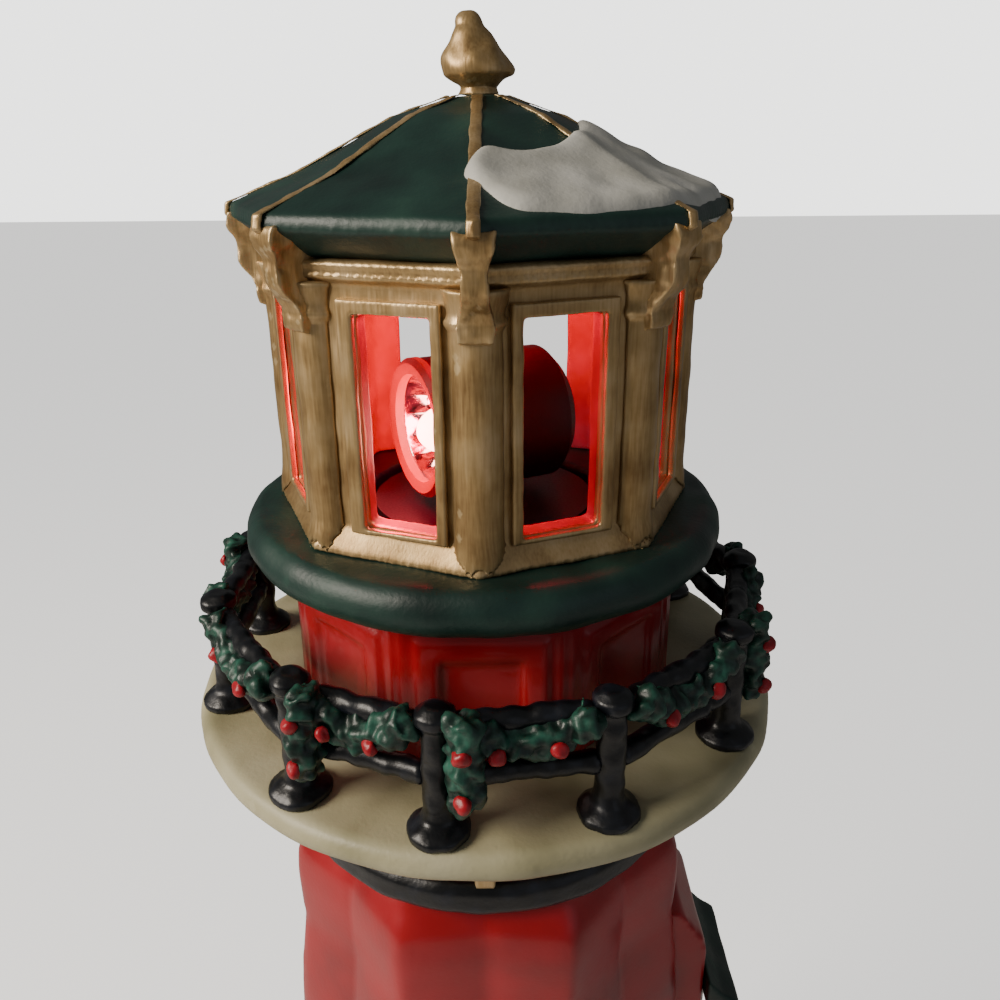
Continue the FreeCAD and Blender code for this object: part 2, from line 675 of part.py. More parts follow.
def make_garland():
    """Swag along the upper bar of each bay, with a tail beside every other post, and its berries."""
    radius = value("garland_radius")
    high = value(DECK_TOP + " + top_rail_height + 0.2")
    low = high - value("garland_sag")
    out = value("post_circle") + value("rail_radius") * 0.6
    angles = post_angles()
    step = angles[1] - angles[0]
    margin = 4.2
    swags = []
    berries = []
    for i, angle in enumerate(angles):
        start = around(out, angle + margin, high)
        middle = around(out * 0.965, angle + step / 2, low)
        end = around(out, angle + step - margin, high)
        arc = Part.Arc(start, middle, end)
        path = Part.Wire(arc.toShape())
        section = Part.Wire(Part.makeCircle(radius, start, arc.tangent(arc.FirstParameter)[0]))
        swag = path.makePipeShell([section], True, False)
        if i % 2 == 0:
            tail_top = around(out + 0.7, angle + margin * 1.25, high + 0.9)
            length = value("garland_tail")
            swag = swag.fuse(Part.makeCylinder(radius, length, tail_top - UP * length, UP))
            for drop in (0.25, 0.8):
                berries.append(berry_on(tail_top - UP * length * drop, angle, radius))
        swags.append(swag)
        for share in (0.32, 0.66):
            spot = around(out * 0.97, angle + step * share, high - value("garland_sag") * 0.85)
            berries.append(berry_on(spot, angle + step * share, radius))
    loops = finished("garland_loops", Part.makeCompound(swags))
    rail_ring = doc.getObject("rail_ring")
    posts = doc.getObject("post_ring")
    garland = cut("garland_piece", loops, rail_ring, posts)
    keep(garland, "garland")
    dots = finished("berry_dots", Part.makeCompound(berries))
    keep(cut("berry_piece", dots, garland), "garland_berries")


# ---------------------------------------------------------------- lantern
def make_lantern_deck():
    keep(turned("lantern_disc", [
        ("deck_bore", WATCH_TOP),
        ("deck_radius - deck_thickness / 3", WATCH_TOP, "deck_thickness * 0.56"),
        ("deck_radius - deck_thickness / 3", LANTERN_FLOOR),
        ("deck_bore", LANTERN_FLOOR),
    ]), "lantern_deck")


def make_lantern_frame():
    """Octagonal wall with an opening in each face, a splayed foot below and a double bead above."""
    outside = stack("lantern_outside", [
        ("sill_radius", LANTERN_FLOOR),
        ("sill_radius - 0.1", LANTERN_FLOOR + " + 0.5"),
        ("lantern_radius", LANTERN_FLOOR + " + sill_height"),
        ("lantern_radius", LANTERN_TOP + " - lintel_height"),
        ("lintel_radius", LANTERN_TOP + " - lintel_height * 0.8"),
        ("lintel_radius - 0.5", LANTERN_TOP + " - lintel_height * 0.5"),
        ("lintel_radius", LANTERN_TOP + " - lintel_height * 0.2"),
        ("lintel_radius - 0.4", LANTERN_TOP),
    ])
    inside = prism("lantern_inside", "lantern_radius - lantern_wall", LANTERN_FLOOR + " - 1", LANTERN_TOP + " + 1")
    window = block("window_cut", "window_width", "lantern_radius * 2", "window_height",
                   "0", "-lantern_radius", LANTERN_FLOOR + " + window_sill")
    windows = ring_of("window_cuts", window, SIDES, FACE_TURN)
    keep(cut("lantern_piece", outside, inside, windows), "lantern_frame")


def make_window_trims():
    """Raised moulding round each opening."""
    flat = f"lantern_radius * {FLAT}"
    middle = f"-({flat}) - trim_lift / 2"
    low = LANTERN_FLOOR + " + window_sill"
    frame = block("trim_outer", "window_width + 2 * trim_width", "trim_lift", "window_height + 2 * trim_width - 0.6",
                  "0", middle, low + " - trim_width + 0.6")
    opening = block("trim_inner", "window_width", "trim_lift + 2", "window_height", "0", middle, low)
    trims = ring_of("trim_ring", cut("trim_frame", frame, opening), SIDES, FACE_TURN)
    keep(cut("trim_piece", trims, doc.getObject("lantern_outside")), "window_trims")


def make_pilasters():
    """Half-round pilaster with a wider capital on each corner of the lantern."""
    low = LANTERN_FLOOR
    high = LANTERN_TOP + " - lintel_height"
    pilaster = turned("pilaster_pattern", [
        ("0", low),
        ("capital_radius", low),
        ("pilaster_radius + 0.2", low + " + 1.6"),
        ("pilaster_radius", low + " + 3"),
        ("pilaster_radius", high + " - capital_height"),
        ("capital_radius", high + " - capital_height + 0.5"),
        ("capital_radius - 0.3", high + " - capital_height + 1.2"),
        ("capital_radius + 0.1", high),
        ("0", high),
    ])
    bind(pilaster, **{"Placement.Base.x": "pilaster_circle"})
    pilasters = ring_of("pilaster_ring", pilaster, SIDES)
    core = doc.getObject("lantern_outside")
    keep(cut("pilaster_piece", pilasters, core), "pilasters")


def roof_levels(grow):
    """Levels of the roof, each corner pushed out by the same amount."""
    top = "roof_height - eaves_lift - eaves_edge"
    shoulder = LANTERN_TOP + " + eaves_lift + eaves_edge"
    return [
        (f"lintel_radius - 1 + {grow}", LANTERN_TOP),
        (f"eaves_radius - 0.9 + {grow}", LANTERN_TOP + " + eaves_lift * 0.75"),
        (f"eaves_radius + {grow}", LANTERN_TOP + " + eaves_lift"),
        (f"eaves_radius - 0.2 + {grow}", LANTERN_TOP + " + eaves_lift + eaves_edge * 0.8"),
        (f"eaves_radius * 0.83 + {grow}", f"{shoulder} + ({top}) * 0.14"),
        (f"eaves_radius * 0.7 + {grow}", f"{shoulder} + ({top}) * 0.28"),
        (f"eaves_radius * 0.51 + {grow}", f"{shoulder} + ({top}) * 0.55"),
        (f"eaves_radius * 0.32 + {grow}", f"{shoulder} + ({top}) * 0.81"),
        (f"neck_radius + {grow}", NECK_TOP),
    ]


def make_roof():
    keep(stack("roof_piece", roof_levels("0")), "roof")


def make_roof_ribs():
    """Gold rib down each hip: the part of a slightly larger roof that lies along the corners."""
    larger = stack("rib_envelope", roof_levels("rib_lift"))
    bars = []
    length = value("2 * eaves_radius + 4")
    width = value("rib_width")
    low = value(LANTERN_TOP + " + eaves_lift * 0.5")
    height = value(NECK_TOP) - low
    for i in range(SIDES // 2):
        bar = Part.makeBox(length, width, height, FreeCAD.Vector(-length / 2, -width / 2, low))
        bar.rotate(FreeCAD.Vector(), UP, i * 360 / SIDES)
        bars.append(bar)
    star = finished("rib_star", bars[0].fuse(bars[1:]))
    ribs = cut("rib_cage", common("rib_slices", larger, star), doc.getObject("roof_piece"))
    seat = cylinder("rib_seat", "finial_radius * 0.8", "6", z=NECK_TOP + " - 1.5")
    keep(cut("rib_piece", ribs, seat), "roof_ribs")


def make_roof_snow():
    """Raised patch of snow on the right and right-front faces."""
    reach = value("eaves_radius")
    patch = [(-0.06, -0.70), (-0.02, -0.45), (0.15, -0.48), (0.27, -0.39), (0.33, -0.18), (0.30, 0.06),
             (0.42, 0.25), (0.70, 0.35), (0.93, 0.27), (0.97, 0.0), (0.87, -0.37), (0.62, -0.62),
             (0.39, -0.82), (0.17, -0.90), (0.05, -0.86)]
    low = value(LANTERN_TOP + " + eaves_lift")
    curve = Part.BSplineCurve()
    curve.interpolate([FreeCAD.Vector(x * reach, y * reach, low) for x, y in patch], PeriodicFlag=True)
    area = Part.Face(Part.Wire(curve.toShape()))
    column = finished("snow_column", area.extrude(FreeCAD.Vector(0, 0, value("roof_height"))))
    larger = stack("snow_envelope", roof_levels("snow_depth * 1.6"))
    shell = cut("snow_shell", larger, doc.getObject("roof_piece"))
    slab = common("snow_slab", shell, column)
    keep(cut("snow_piece", slab, doc.getObject("rib_cage")), "roof_snow")


def make_corner_brackets():
    """Scroll bracket under each corner of the eaves."""
    top = LANTERN_TOP
    bracket = padded("bracket_pattern", "XZ_Plane", [
        ("lintel_radius - 2.4", top + " - bracket_drop"),
        ("lintel_radius - 0.3", top + " - bracket_drop"),
        ("lintel_radius + 0.5", top + " - bracket_drop * 0.62"),
        ("lintel_radius + 1.3", top + " - bracket_drop * 0.3"),
        ("lintel_radius + 2", top + " + 0.3"),
        ("eaves_radius - 0.4", top + " + eaves_lift"),
        ("lintel_radius - 2.4", top + " + 1"),
    ], "bracket_width", midplane=True)
    ring = ring_of("bracket_ring", bracket, SIDES)
    piece = ring
    for name in ("roof_piece", "lantern_outside", "pilaster_piece", "rib_piece"):
        piece = cut("bracket_less_" + name, piece, doc.getObject(name))
    keep(piece, "corner_brackets")


def make_finial():
    low = NECK_TOP
    keep(turned("finial_turning", [
        ("0", low),
        ("finial_radius * 0.62", low),
        ("finial_radius * 0.52", low + " + finial_height * 0.1"),
        ("finial_radius * 0.95", low + " + finial_height * 0.24", "finial_radius * 1.2"),
        ("finial_radius * 0.72", low + " + finial_height * 0.62"),
        ("finial_radius * 0.4", low + " + finial_height * 0.82", "finial_radius * 0.4"),
        ("finial_radius * 0.16", low + " + finial_height"),
        ("0", low + " + finial_height"),
    ]), "finial")


# ---------------------------------------------------------------- beacon, which turns as one
def beacon_piece(name, points, label):
    """A piece turned about the beacon's own level axis, which points where the lens looks."""
    piece = turned(name, points)
    heading = around(1, value("beacon_heading"), 0)
    piece.Placement = FreeCAD.Placement(FreeCAD.Vector(), FreeCAD.Rotation(UP, heading))
    piece.setExpression("Placement.Base.z", formula(BEACON_MIDDLE))
    return keep(piece, label)


def make_beacon():
    """Level cylinder with a dished reflector and a lamp in one end and a closed back."""
    back = "-beacon_length / 2"
    front = "beacon_length / 2 - rim_length"
    inner = "beacon_radius - beacon_wall"
    beacon_piece("housing_turning", [
        ("0", back),
        ("beacon_radius - 1.2", back),
        ("beacon_radius", back + " + 1.2"),
        ("beacon_radius", front),
        (inner, front),
        (inner, f"{front} - reflector_depth - 1.2"),
        ("0", f"{front} - reflector_depth - 1.2"),
    ], "beacon_housing")
    beacon_piece("rim_turning", [
        ("beacon_radius - beacon_wall * 1.5", front),
        ("beacon_radius + 0.1", front),
        ("beacon_radius + 0.1", front + " + rim_length * 0.6"),
        ("beacon_radius - 0.4", front + " + rim_length"),
        ("beacon_radius - beacon_wall * 1.5", front + " + rim_length * 0.8"),
    ], "beacon_rim")
    beacon_piece("reflector_turning", [
        ("lamp_radius", f"{front} - reflector_depth"),
        (inner, f"{front} - reflector_depth"),
        (inner, front),
        ("beacon_radius - beacon_wall * 1.5", front),
        ("beacon_radius * 0.66", f"{front} - reflector_depth * 0.42"),
        ("lamp_radius", f"{front} - reflector_depth * 0.8"),
    ], "beacon_reflector")
    beacon_piece("lamp_turning", [
        ("0", f"{front} - reflector_depth - 1.2"),
        ("lamp_radius", f"{front} - reflector_depth - 1.2"),
        ("lamp_radius", f"{front} - reflector_depth * 0.35"),
        ("lamp_radius * 0.7", f"{front} - reflector_depth * 0.35 + lamp_radius * 0.7"),
        ("0", f"{front} - reflector_depth * 0.35 + lamp_radius"),
    ], "beacon_lamp")


def make_turntable():
    """Round floor and the short hub that carries the beacon."""
    hub = turned("turntable_turning", [
        ("shaft_radius", TURNTABLE_TOP + " - turntable_thickness"),
        ("turntable_radius", TURNTABLE_TOP + " - turntable_thickness"),
        ("turntable_radius", TURNTABLE_TOP),
        ("3.6", TURNTABLE_TOP),
        ("2.8", TURNTABLE_TOP + " + 1.2"),
        ("2.8", HUB_TOP),
        ("shaft_radius", HUB_TOP),
    ])
    tool = doc.getObject("housing_turning")
    keep(cut("turntable_piece", hub, tool), "turntable")


def gear_shape(teeth, width, bore):
    """Spur gear with straight-flanked teeth, as moulded small gears have."""
    size = value("tooth_module")
    pitch = size * teeth / 2
    tip = pitch + size * 0.9
    root = pitch - size * 1.15
    quarter = 360 / teeth / 4
    points = []
    for i in range(teeth):
        middle = 360 * i / teeth
        for radius, offset in ((root, -1.55), (pitch, -0.92), (tip, -0.45), (tip, 0.45), (pitch, 0.92), (root, 1.55)):
            points.append(around(radius, middle + offset * quarter, 0))
    face = Part.Face(Part.makePolygon(points + points[:1]))
    return face.extrude(UP * width).cut(Part.makeCylinder(bore, width))


def make_drive():
    """Shaft, gear, bush and slip rings, and the motor with its pinion beside them."""
    bottom = DECK_TOP + " + 2.4"
    keep(cut("shaft_piece",
             cylinder("shaft_rod", "shaft_radius", f"{HUB_TOP} - ({bottom})", z=bottom),
             doc.getObject("housing_turning")), "drive_shaft")
    level = value(GEAR_UNDER)
    width = value("gear_width")
    gear = gear_shape(round(value("gear_teeth")), width, value("shaft_radius"))
    keep(finished("gear_piece", gear, FreeCAD.Vector(0, 0, level)), "drive_gear")
    teeth = round(value("pinion_teeth"))
    pinion = gear_shape(teeth, width, value("shaft_radius * 0.75"))
    half_tooth = 180 if round(value("gear_teeth")) % 2 else 0
    pinion.rotate(FreeCAD.Vector(), UP, 180 + half_tooth + 180 / teeth)
    axle_low = value(f"{PLATE_UNDER} - 0.6")
    axle = Part.makeCylinder(value("shaft_radius * 0.75"), level + width - axle_low, FreeCAD.Vector(0, 0, axle_low - level))
    distance = value(GEAR_DISTANCE)
    keep(finished("pinion_piece", pinion.fuse(axle).removeSplitter(), FreeCAD.Vector(distance, 0, level)), "motor_pinion")
    keep(turned("bush_turning", [
        ("shaft_radius + run_gap", PLATE_UNDER + " - 1.2"),
        ("shaft_radius + 1.6", PLATE_UNDER + " - 1.2"),
        ("shaft_radius + 1.6", PLATE_UNDER),
        ("shaft_radius + 1", PLATE_UNDER),
        ("shaft_radius + 1", PLATE_TOP),
        ("shaft_radius + run_gap", PLATE_TOP),
    ]), "shaft_bush")
    rings = []
    for rise in (1, 3.2):
        ring = Part.makeCylinder(2.2, 1.4, FreeCAD.Vector(0, 0, value(bottom) + rise))
        rings.append(ring.cut(Part.makeCylinder(value("shaft_radius"), 1.4, FreeCAD.Vector(0, 0, value(bottom) + rise))))
    keep(finished("slip_ring_pair", Part.makeCompound(rings)), "slip_rings")


def make_motor():
    """Motor under its plate, the plate's screws and the brush block by the slip rings."""
    plate = prism("plate_outline", "watch_radius - watch_wall - seat_gap", PLATE_UNDER, PLATE_TOP, FACE_TURN)
    over = PLATE_UNDER + " - 1"
    deep = "plate_thickness + 2"
    bush_hole = cylinder("plate_bush_hole", "shaft_radius + 1", deep, z=over)
    motor_hole = cylinder("plate_motor_hole", "shaft_radius + 0.6", deep, x=GEAR_DISTANCE, z=over)
    screw_x = f"-(watch_radius - watch_wall) * {FLAT} + 3.2"
    screw_spots = ((screw_x, "-5"), (screw_x, "5"))
    holes = [cylinder(f"plate_screw_hole_{i}", "screw_radius", deep, x=x, y=y, z=over) for i, (x, y) in enumerate(screw_spots)]
    keep(cut("plate_piece", plate, bush_hole, motor_hole, *holes), "motor_plate")
    screws = []
    for i, (x, y) in enumerate(screw_spots):
        stem = cylinder(f"plate_screw_stem_{i}", "screw_radius", "plate_thickness", x=x, y=y, z=PLATE_UNDER)
        head = cylinder(f"plate_screw_head_{i}", "screw_radius + 0.7", "0.8", x=x, y=y, z=PLATE_TOP)
        screws.append(fuse(f"plate_screw_{i}", stem, head))
    pair = doc.addObject("Part::Compound", "plate_screw_pair")
    pair.Links = screws
    keep(pair, "plate_screws")
    can = cylinder("motor_can", "motor_radius", "motor_length", x=GEAR_DISTANCE, z=PLATE_UNDER + " - motor_length")
    well = cylinder("motor_well", "shaft_radius * 0.75 + run_gap", "2", x=GEAR_DISTANCE, z=PLATE_UNDER + " - 1")
    keep(cut("motor_piece", can, well), "motor")
    block_low = DECK_TOP
    base = block("brush_base", "4", "5", "8", "-7", "0", block_low)
    arms = [
        block(f"brush_arm_{i}", "2.8 - run_gap", "1", "0.4", "-(2.2 + run_gap + 5) / 2 + 0.0", "0", f"{DECK_TOP} + 2.4 + {rise}")
        for i, rise in enumerate((1.5, 3.7))
    ]
    keep(fuse("brush_piece", base, *arms), "brush_block")


make_tower()
make_gallery_band()
make_corbels()
make_bay()
make_entry()
make_plinth()
make_base()
make_battery_box()
make_switch()
make_watch_room()
make_gallery_deck()
make_railing()
make_garland()
make_lantern_deck()
make_lantern_frame()
make_window_trims()
make_pilasters()
make_roof()
make_roof_ribs()
make_roof_snow()
make_corner_brackets()
make_finial()
make_beacon()
make_turntable()
make_drive()
make_motor()
doc.recompute()

faults = [f"{thing.Name}: {thing.State}" for thing in doc.Objects if "Invalid" in thing.State or "Error" in thing.State]
for part in PARTS:
    if part.Shape.isNull() or not part.Shape.isValid() or not part.Shape.Solids:
        faults.append(f"{part.Label}: no valid solid")
if faults:
    raise RuntimeError("; ".join(faults))

os.makedirs("parts", exist_ok=True)
for part in PARTS:
    part.Shape.exportStep(f"parts/{part.Label}.step")
    box = part.Shape.optimalBoundingBox()
    print(f"{part.Label}: {len(part.Shape.Solids)} solids, {part.Shape.Volume:.1f} mm3, "
          f"x {box.XMin:.2f}..{box.XMax:.2f}, y {box.YMin:.2f}..{box.YMax:.2f}, z {box.ZMin:.2f}..{box.ZMax:.2f}")
print(len(PARTS), "parts")
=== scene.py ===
# %% [markdown]
# # Garden lighthouse ornament
# The CAD model gives every piece its size and place. This lesson gives the pieces their looks: a small cast
# ornament, painted by hand, with a red beacon glowing behind the windows of its lantern. All lengths are metres, and
# MM turns millimetres into them.

import json
import math

import bmesh
import bpy
from mathutils import Matrix, Vector, noise

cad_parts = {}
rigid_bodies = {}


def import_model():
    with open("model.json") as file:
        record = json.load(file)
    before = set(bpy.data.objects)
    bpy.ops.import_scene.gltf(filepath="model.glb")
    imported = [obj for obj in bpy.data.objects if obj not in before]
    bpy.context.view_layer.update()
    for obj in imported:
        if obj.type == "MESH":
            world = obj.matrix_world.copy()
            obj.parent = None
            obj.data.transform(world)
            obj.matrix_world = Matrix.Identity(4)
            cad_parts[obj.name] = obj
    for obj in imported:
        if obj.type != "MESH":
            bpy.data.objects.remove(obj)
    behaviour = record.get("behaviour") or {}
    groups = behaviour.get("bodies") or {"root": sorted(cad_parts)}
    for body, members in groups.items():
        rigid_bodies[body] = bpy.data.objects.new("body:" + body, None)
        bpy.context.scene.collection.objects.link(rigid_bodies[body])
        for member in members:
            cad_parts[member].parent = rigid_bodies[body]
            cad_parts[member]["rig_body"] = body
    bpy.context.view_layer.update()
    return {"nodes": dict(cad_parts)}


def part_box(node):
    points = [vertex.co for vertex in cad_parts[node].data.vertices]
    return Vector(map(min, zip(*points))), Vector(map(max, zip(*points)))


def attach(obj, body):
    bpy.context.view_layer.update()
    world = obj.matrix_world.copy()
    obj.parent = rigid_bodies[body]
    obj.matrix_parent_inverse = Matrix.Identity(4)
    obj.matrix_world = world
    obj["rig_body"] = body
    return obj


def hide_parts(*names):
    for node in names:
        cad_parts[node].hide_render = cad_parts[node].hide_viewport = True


MM = 0.001
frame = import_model()

# %% [markdown]
# ## Camera
# The picture was taken from close by and a little above the gallery, with a wide lens, so that the roof leans over
# the viewer and the deck opens out below. The camera stands where the outlines of the eaves, the lantern deck and
# the gallery meet those in the photograph.

# %% Camera
FOCAL_LENGTH = 31.7
SENSOR_WIDTH = 36.0
CAMERA_SPOT = Vector((1.76, -88.6, 224.7)) * MM
LOOK_DOWN = math.radians(21.9)
CAMERA_ROLL = math.radians(-0.45)
NEAREST_SEEN = 5 * MM

lens = bpy.data.cameras.new("camera")
lens.lens = FOCAL_LENGTH
lens.sensor_width = SENSOR_WIDTH
lens.clip_start = NEAREST_SEEN
camera = bpy.data.objects.new("camera", lens)
camera.matrix_world = (
    Matrix.Translation(CAMERA_SPOT)
    @ Matrix.Rotation(math.pi / 2 - LOOK_DOWN, 4, "X")
    @ Matrix.Rotation(CAMERA_ROLL, 4, "Z")
)
bpy.context.scene.collection.objects.link(camera)
bpy.context.scene.camera = camera
print("camera to axis, mm:", round(CAMERA_SPOT.xy.length / MM, 1))

# %% [markdown]
# ## Colours and nodes
# Paint colours are written as the sRGB hex that a paint tin would have, and one function turns them into the linear
# values that Blender mixes with. One small function adds a node, sets its sockets and links what feeds them.


# %% Helpers for colours and nodes
def to_linear(hex_colour):
    """Linear RGBA of an sRGB hex colour."""
    parts = [int(hex_colour[i : i + 2], 16) / 255 for i in (1, 3, 5)]
    linear = [c / 12.92 if c <= 0.04045 else ((c + 0.055) / 1.055) ** 2.4 for c in parts]
    return (*linear, 1.0)


def add_node(tree, kind, settings=None, **inputs):
    """Adds a node. settings are its own properties; inputs are values or sockets that feed it.

    An input is named as its socket is, with _ for a space, or as i and the socket's place in the list."""
    node = tree.nodes.new(kind)
    for key, setting in (settings or {}).items():
        setattr(node, key, setting)
    for key, given in inputs.items():
        by_place = key[0] == "i" and key[1:].isdigit()
        socket = node.inputs[int(key[1:]) if by_place else key.replace("_", " ")]
        if isinstance(given, bpy.types.NodeSocket):
            tree.links.new(given, socket)
        else:
            socket.default_value = given
    return node


def new_material(name, **principled):
    """A material with only a Principled shader, whose constant values are set on its own sockets."""
    material = bpy.data.materials.new(name)
    material.use_nodes = True
    shader = material.node_tree.nodes["Principled BSDF"]
    for key, given in principled.items():
        shader.inputs[key.replace("_", " ")].default_value = given
    return material, material.node_tree, shader


def ramp(tree, feed, stops):
    """A colour ramp fed by one value, with stops of (place, hex colour)."""
    made = add_node(tree, "ShaderNodeValToRGB", i0=feed)
    elements = made.color_ramp.elements
    while len(elements) < len(stops):
        elements.new(0.5)
    for element, (place, colour) in zip(elements, stops):
        element.position = place
        element.color = to_linear(colour)
    return made.outputs["Color"]


print("roof green, linear:", [round(c, 4) for c in to_linear("#15322c")])

# %% [markdown]
# ## Hand-painted finishes
# Most of the ornament is cast resin under two or three coats of acrylic. It is drawn with four things: a base colour
# that drifts a little where the coat is thin, painted shade in the hollows, a painted highlight on the edges, and a
# surface that is never quite flat. One function makes that from noise in object coordinates, and each finish gives its
# own colours, gloss and grain. Pointiness tells how sharply the surface bends: above a half is an edge, below it a
# hollow. The tooth of real acrylic is about a tenth of a millimetre, too fine to show in the render, so it is drawn
# some five times as coarse.

# %% Painted highlight and shade, and links that the finishes share
EDGE_FROM, EDGE_TO = 0.51, 0.6


def highlight_and_shade_coat(tree, coat, light, dark, edge_share, hollow_from, hollow_to, hollow_share):
    """A coat with a lighter colour on its edges as a painted highlight, and a darker one in its hollows as painted
    shade.
    """
    bend = add_node(tree, "ShaderNodeNewGeometry").outputs["Pointiness"]
    edge = add_node(
        tree, "ShaderNodeMapRange", Value=bend, i1=EDGE_FROM, i2=EDGE_TO, i3=0.0, i4=edge_share
    )
    hollow = add_node(
        tree, "ShaderNodeMapRange", Value=bend, i1=hollow_from, i2=hollow_to, i3=0.0, i4=hollow_share
    )
    for share, colour in ((edge, light), (hollow, dark)):
        mixed = add_node(
            tree, "ShaderNodeMix", {"data_type": "RGBA"}, i0=share.outputs[0], i6=coat, i7=to_linear(colour)
        )
        coat = mixed.outputs[2]
    return coat


def link_surface(tree, shader, colour, gloss, relief):
    """Feeds a finish's colour, roughness and relief to its shader."""
    for socket, feed in (("Base Color", colour), ("Roughness", gloss), ("Normal", relief)):
        tree.links.new(feed, shader.inputs[socket])


# %% Painted casting
GLOSS_DRIFT = 0.06


def painted(name, dark, base, light, roughness, patch_mm=6.0, grain_mm=0.5, bump=0.25, hollow_shade=0.7, **sockets):
    """Acrylic over a casting: patches of thin and thick coat, painted shade in the hollows, a painted highlight on the
    edges and a fine tooth.
    """
    material, tree, shader = new_material(name, **sockets)
    place = add_node(tree, "ShaderNodeTexCoord").outputs["Object"]
    patches = add_node(tree, "ShaderNodeTexNoise", Vector=place, Scale=1 / (patch_mm * MM), Detail=2.0)
    grain = add_node(tree, "ShaderNodeTexNoise", Vector=place, Scale=1 / (grain_mm * MM), Detail=4.0, Roughness=0.55)
    coat = ramp(tree, patches.outputs["Fac"], [(0.2, dark), (0.5, base), (0.8, light)])
    # Painted highlight on the edges, and painted shade in the hollows as strong as the last argument here.
    lit_and_shaded = highlight_and_shade_coat(tree, coat, light, dark, 0.5, 0.48, 0.38, hollow_shade)
    gloss = add_node(
        tree,
        "ShaderNodeMapRange",
        Value=patches.outputs["Fac"],
        i1=0.3,
        i2=0.7,
        i3=roughness - GLOSS_DRIFT,
        i4=roughness + GLOSS_DRIFT,
    )
    tooth = add_node(
        tree, "ShaderNodeBump", Strength=bump, Distance=0.15 * MM, Height=grain.outputs["Fac"]
    )
    link_surface(tree, shader, lit_and_shaded, gloss.outputs[0], tooth.outputs[0])
    return material


# Satin acrylic: a soft sheen that rolls along the eaves.
green_paint = painted("green_paint", "#0b1d1a", "#15322c", "#214439", 0.45)
# Thick matt white over filler: chalky, with painted grey shade in its dips.
snow_paint = painted("snow_paint", "#a5a59b", "#c6c6be", "#dcdcd6", 0.5, bump=0.3)
# Red acrylic under a thin varnish: the smoothest and glossiest of the coats, with little painted shade in its hollows.
red_paint = painted(
    "red_paint", "#7c0812", "#a20d19", "#b41a25", 0.34, patch_mm=9.0, bump=0.12, hollow_shade=0.15, Coat_Weight=0.15
)
# Stone cream, flat and even.
cream_paint = painted("cream_paint", "#8f8a68", "#b3ad8a", "#c7c2a2", 0.45, patch_mm=8.0)
# Black gloss with a painted blue sheen on its edges and in patches, as where light grazes it.
black_paint = painted("black_paint", "#040507", "#0a0c10", "#1b202b", 0.36, patch_mm=2.5)
# Dark leaves with a painted highlight of lighter green on their tips.
garland_paint = painted("garland_paint", "#060f0d", "#0e2a22", "#2f6b58", 0.42, patch_mm=1.6, grain_mm=0.35)
# Small dots of red, each a little different.
berry_paint = painted("berry_paint", "#7d0713", "#a80f20", "#bb2231", 0.4, patch_mm=1.0)
# The casting resin itself, matt, its colour painted red as a painted glow of the lamp's light on it.
bare_resin_painted_glow = painted("bare_resin_painted_glow", "#a8142c", "#cc2444", "#e2557a", 0.5, patch_mm=5.0, bump=0.2)
print("painted finishes:", len(bpy.data.materials))

# %% [markdown]
# ## Antique gold
# The gold parts are brushed with a metal paint: fine mica flakes in a brown glaze. Upright brush strokes leave streaks
# where the brown shows through. The edges carry a painted highlight, and the hollows a painted brown shade.

# %% Antique gold paint
STROKE_WIDTH_MM = 0.22
STROKE_LENGTH_MM = 3.0


def antique_gold(name):
    """Metal paint with streaks that run upright, painted brown shade in the hollows and a painted highlight on the
    edges.
    """
    material, tree, shader = new_material(name, Metallic=0.65)
    place = add_node(tree, "ShaderNodeTexCoord").outputs["Object"]
    across = 1 / (STROKE_WIDTH_MM * MM)
    upright = 1 / (STROKE_LENGTH_MM * MM)
    along = add_node(tree, "ShaderNodeMapping", Vector=place, Scale=(across, across, upright))
    strokes = add_node(tree, "ShaderNodeTexNoise", Vector=along.outputs[0], Scale=1.0, Detail=3.0)
    patches = add_node(tree, "ShaderNodeTexNoise", Vector=place, Scale=1 / (5 * MM), Detail=4.0)
    mixed = add_node(tree, "ShaderNodeMix", i0=0.3, i2=patches.outputs["Fac"], i3=strokes.outputs["Fac"])
    coat = ramp(tree, mixed.outputs[0], [(0.34, "#8f7047"), (0.5, "#b59767"), (0.66, "#ccb084")])
    # Painted highlight on the edges and painted brown shade in the hollows.
    lit_and_shaded = highlight_and_shade_coat(tree, coat, "#e2ca9c", "#4a3019", 0.55, 0.49, 0.4, 0.8)
    gloss = add_node(
        tree, "ShaderNodeMapRange", Value=strokes.outputs["Fac"], i1=0.3, i2=0.7, i3=0.34, i4=0.46
    )
    ridges = add_node(
        tree, "ShaderNodeBump", Strength=0.14, Distance=0.12 * MM, Height=strokes.outputs["Fac"]
    )
    link_surface(tree, shader, lit_and_shaded, gloss.outputs[0], ridges.outputs[0])
    return material


gold_paint = antique_gold("gold_paint")
print("gold strokes, mm:", STROKE_WIDTH_MM, "wide,", STROKE_LENGTH_MM, "long")

# %% [markdown]
# ## Moulded plastics, metals and the glowing lamp
# What works inside is ordinary: moulded plastic with a fine spark-eroded texture, turned steel and brass with a
# lathe's faint grain, a chromed reflector, and a lamp that gives the red light. An eroded texture is a few hundredths
# of a millimetre; it is drawn at a quarter of a millimetre so that it shows.

# %% Plastics and metals
TEXTURE_MM = 0.25
DRIFT_MM = 12


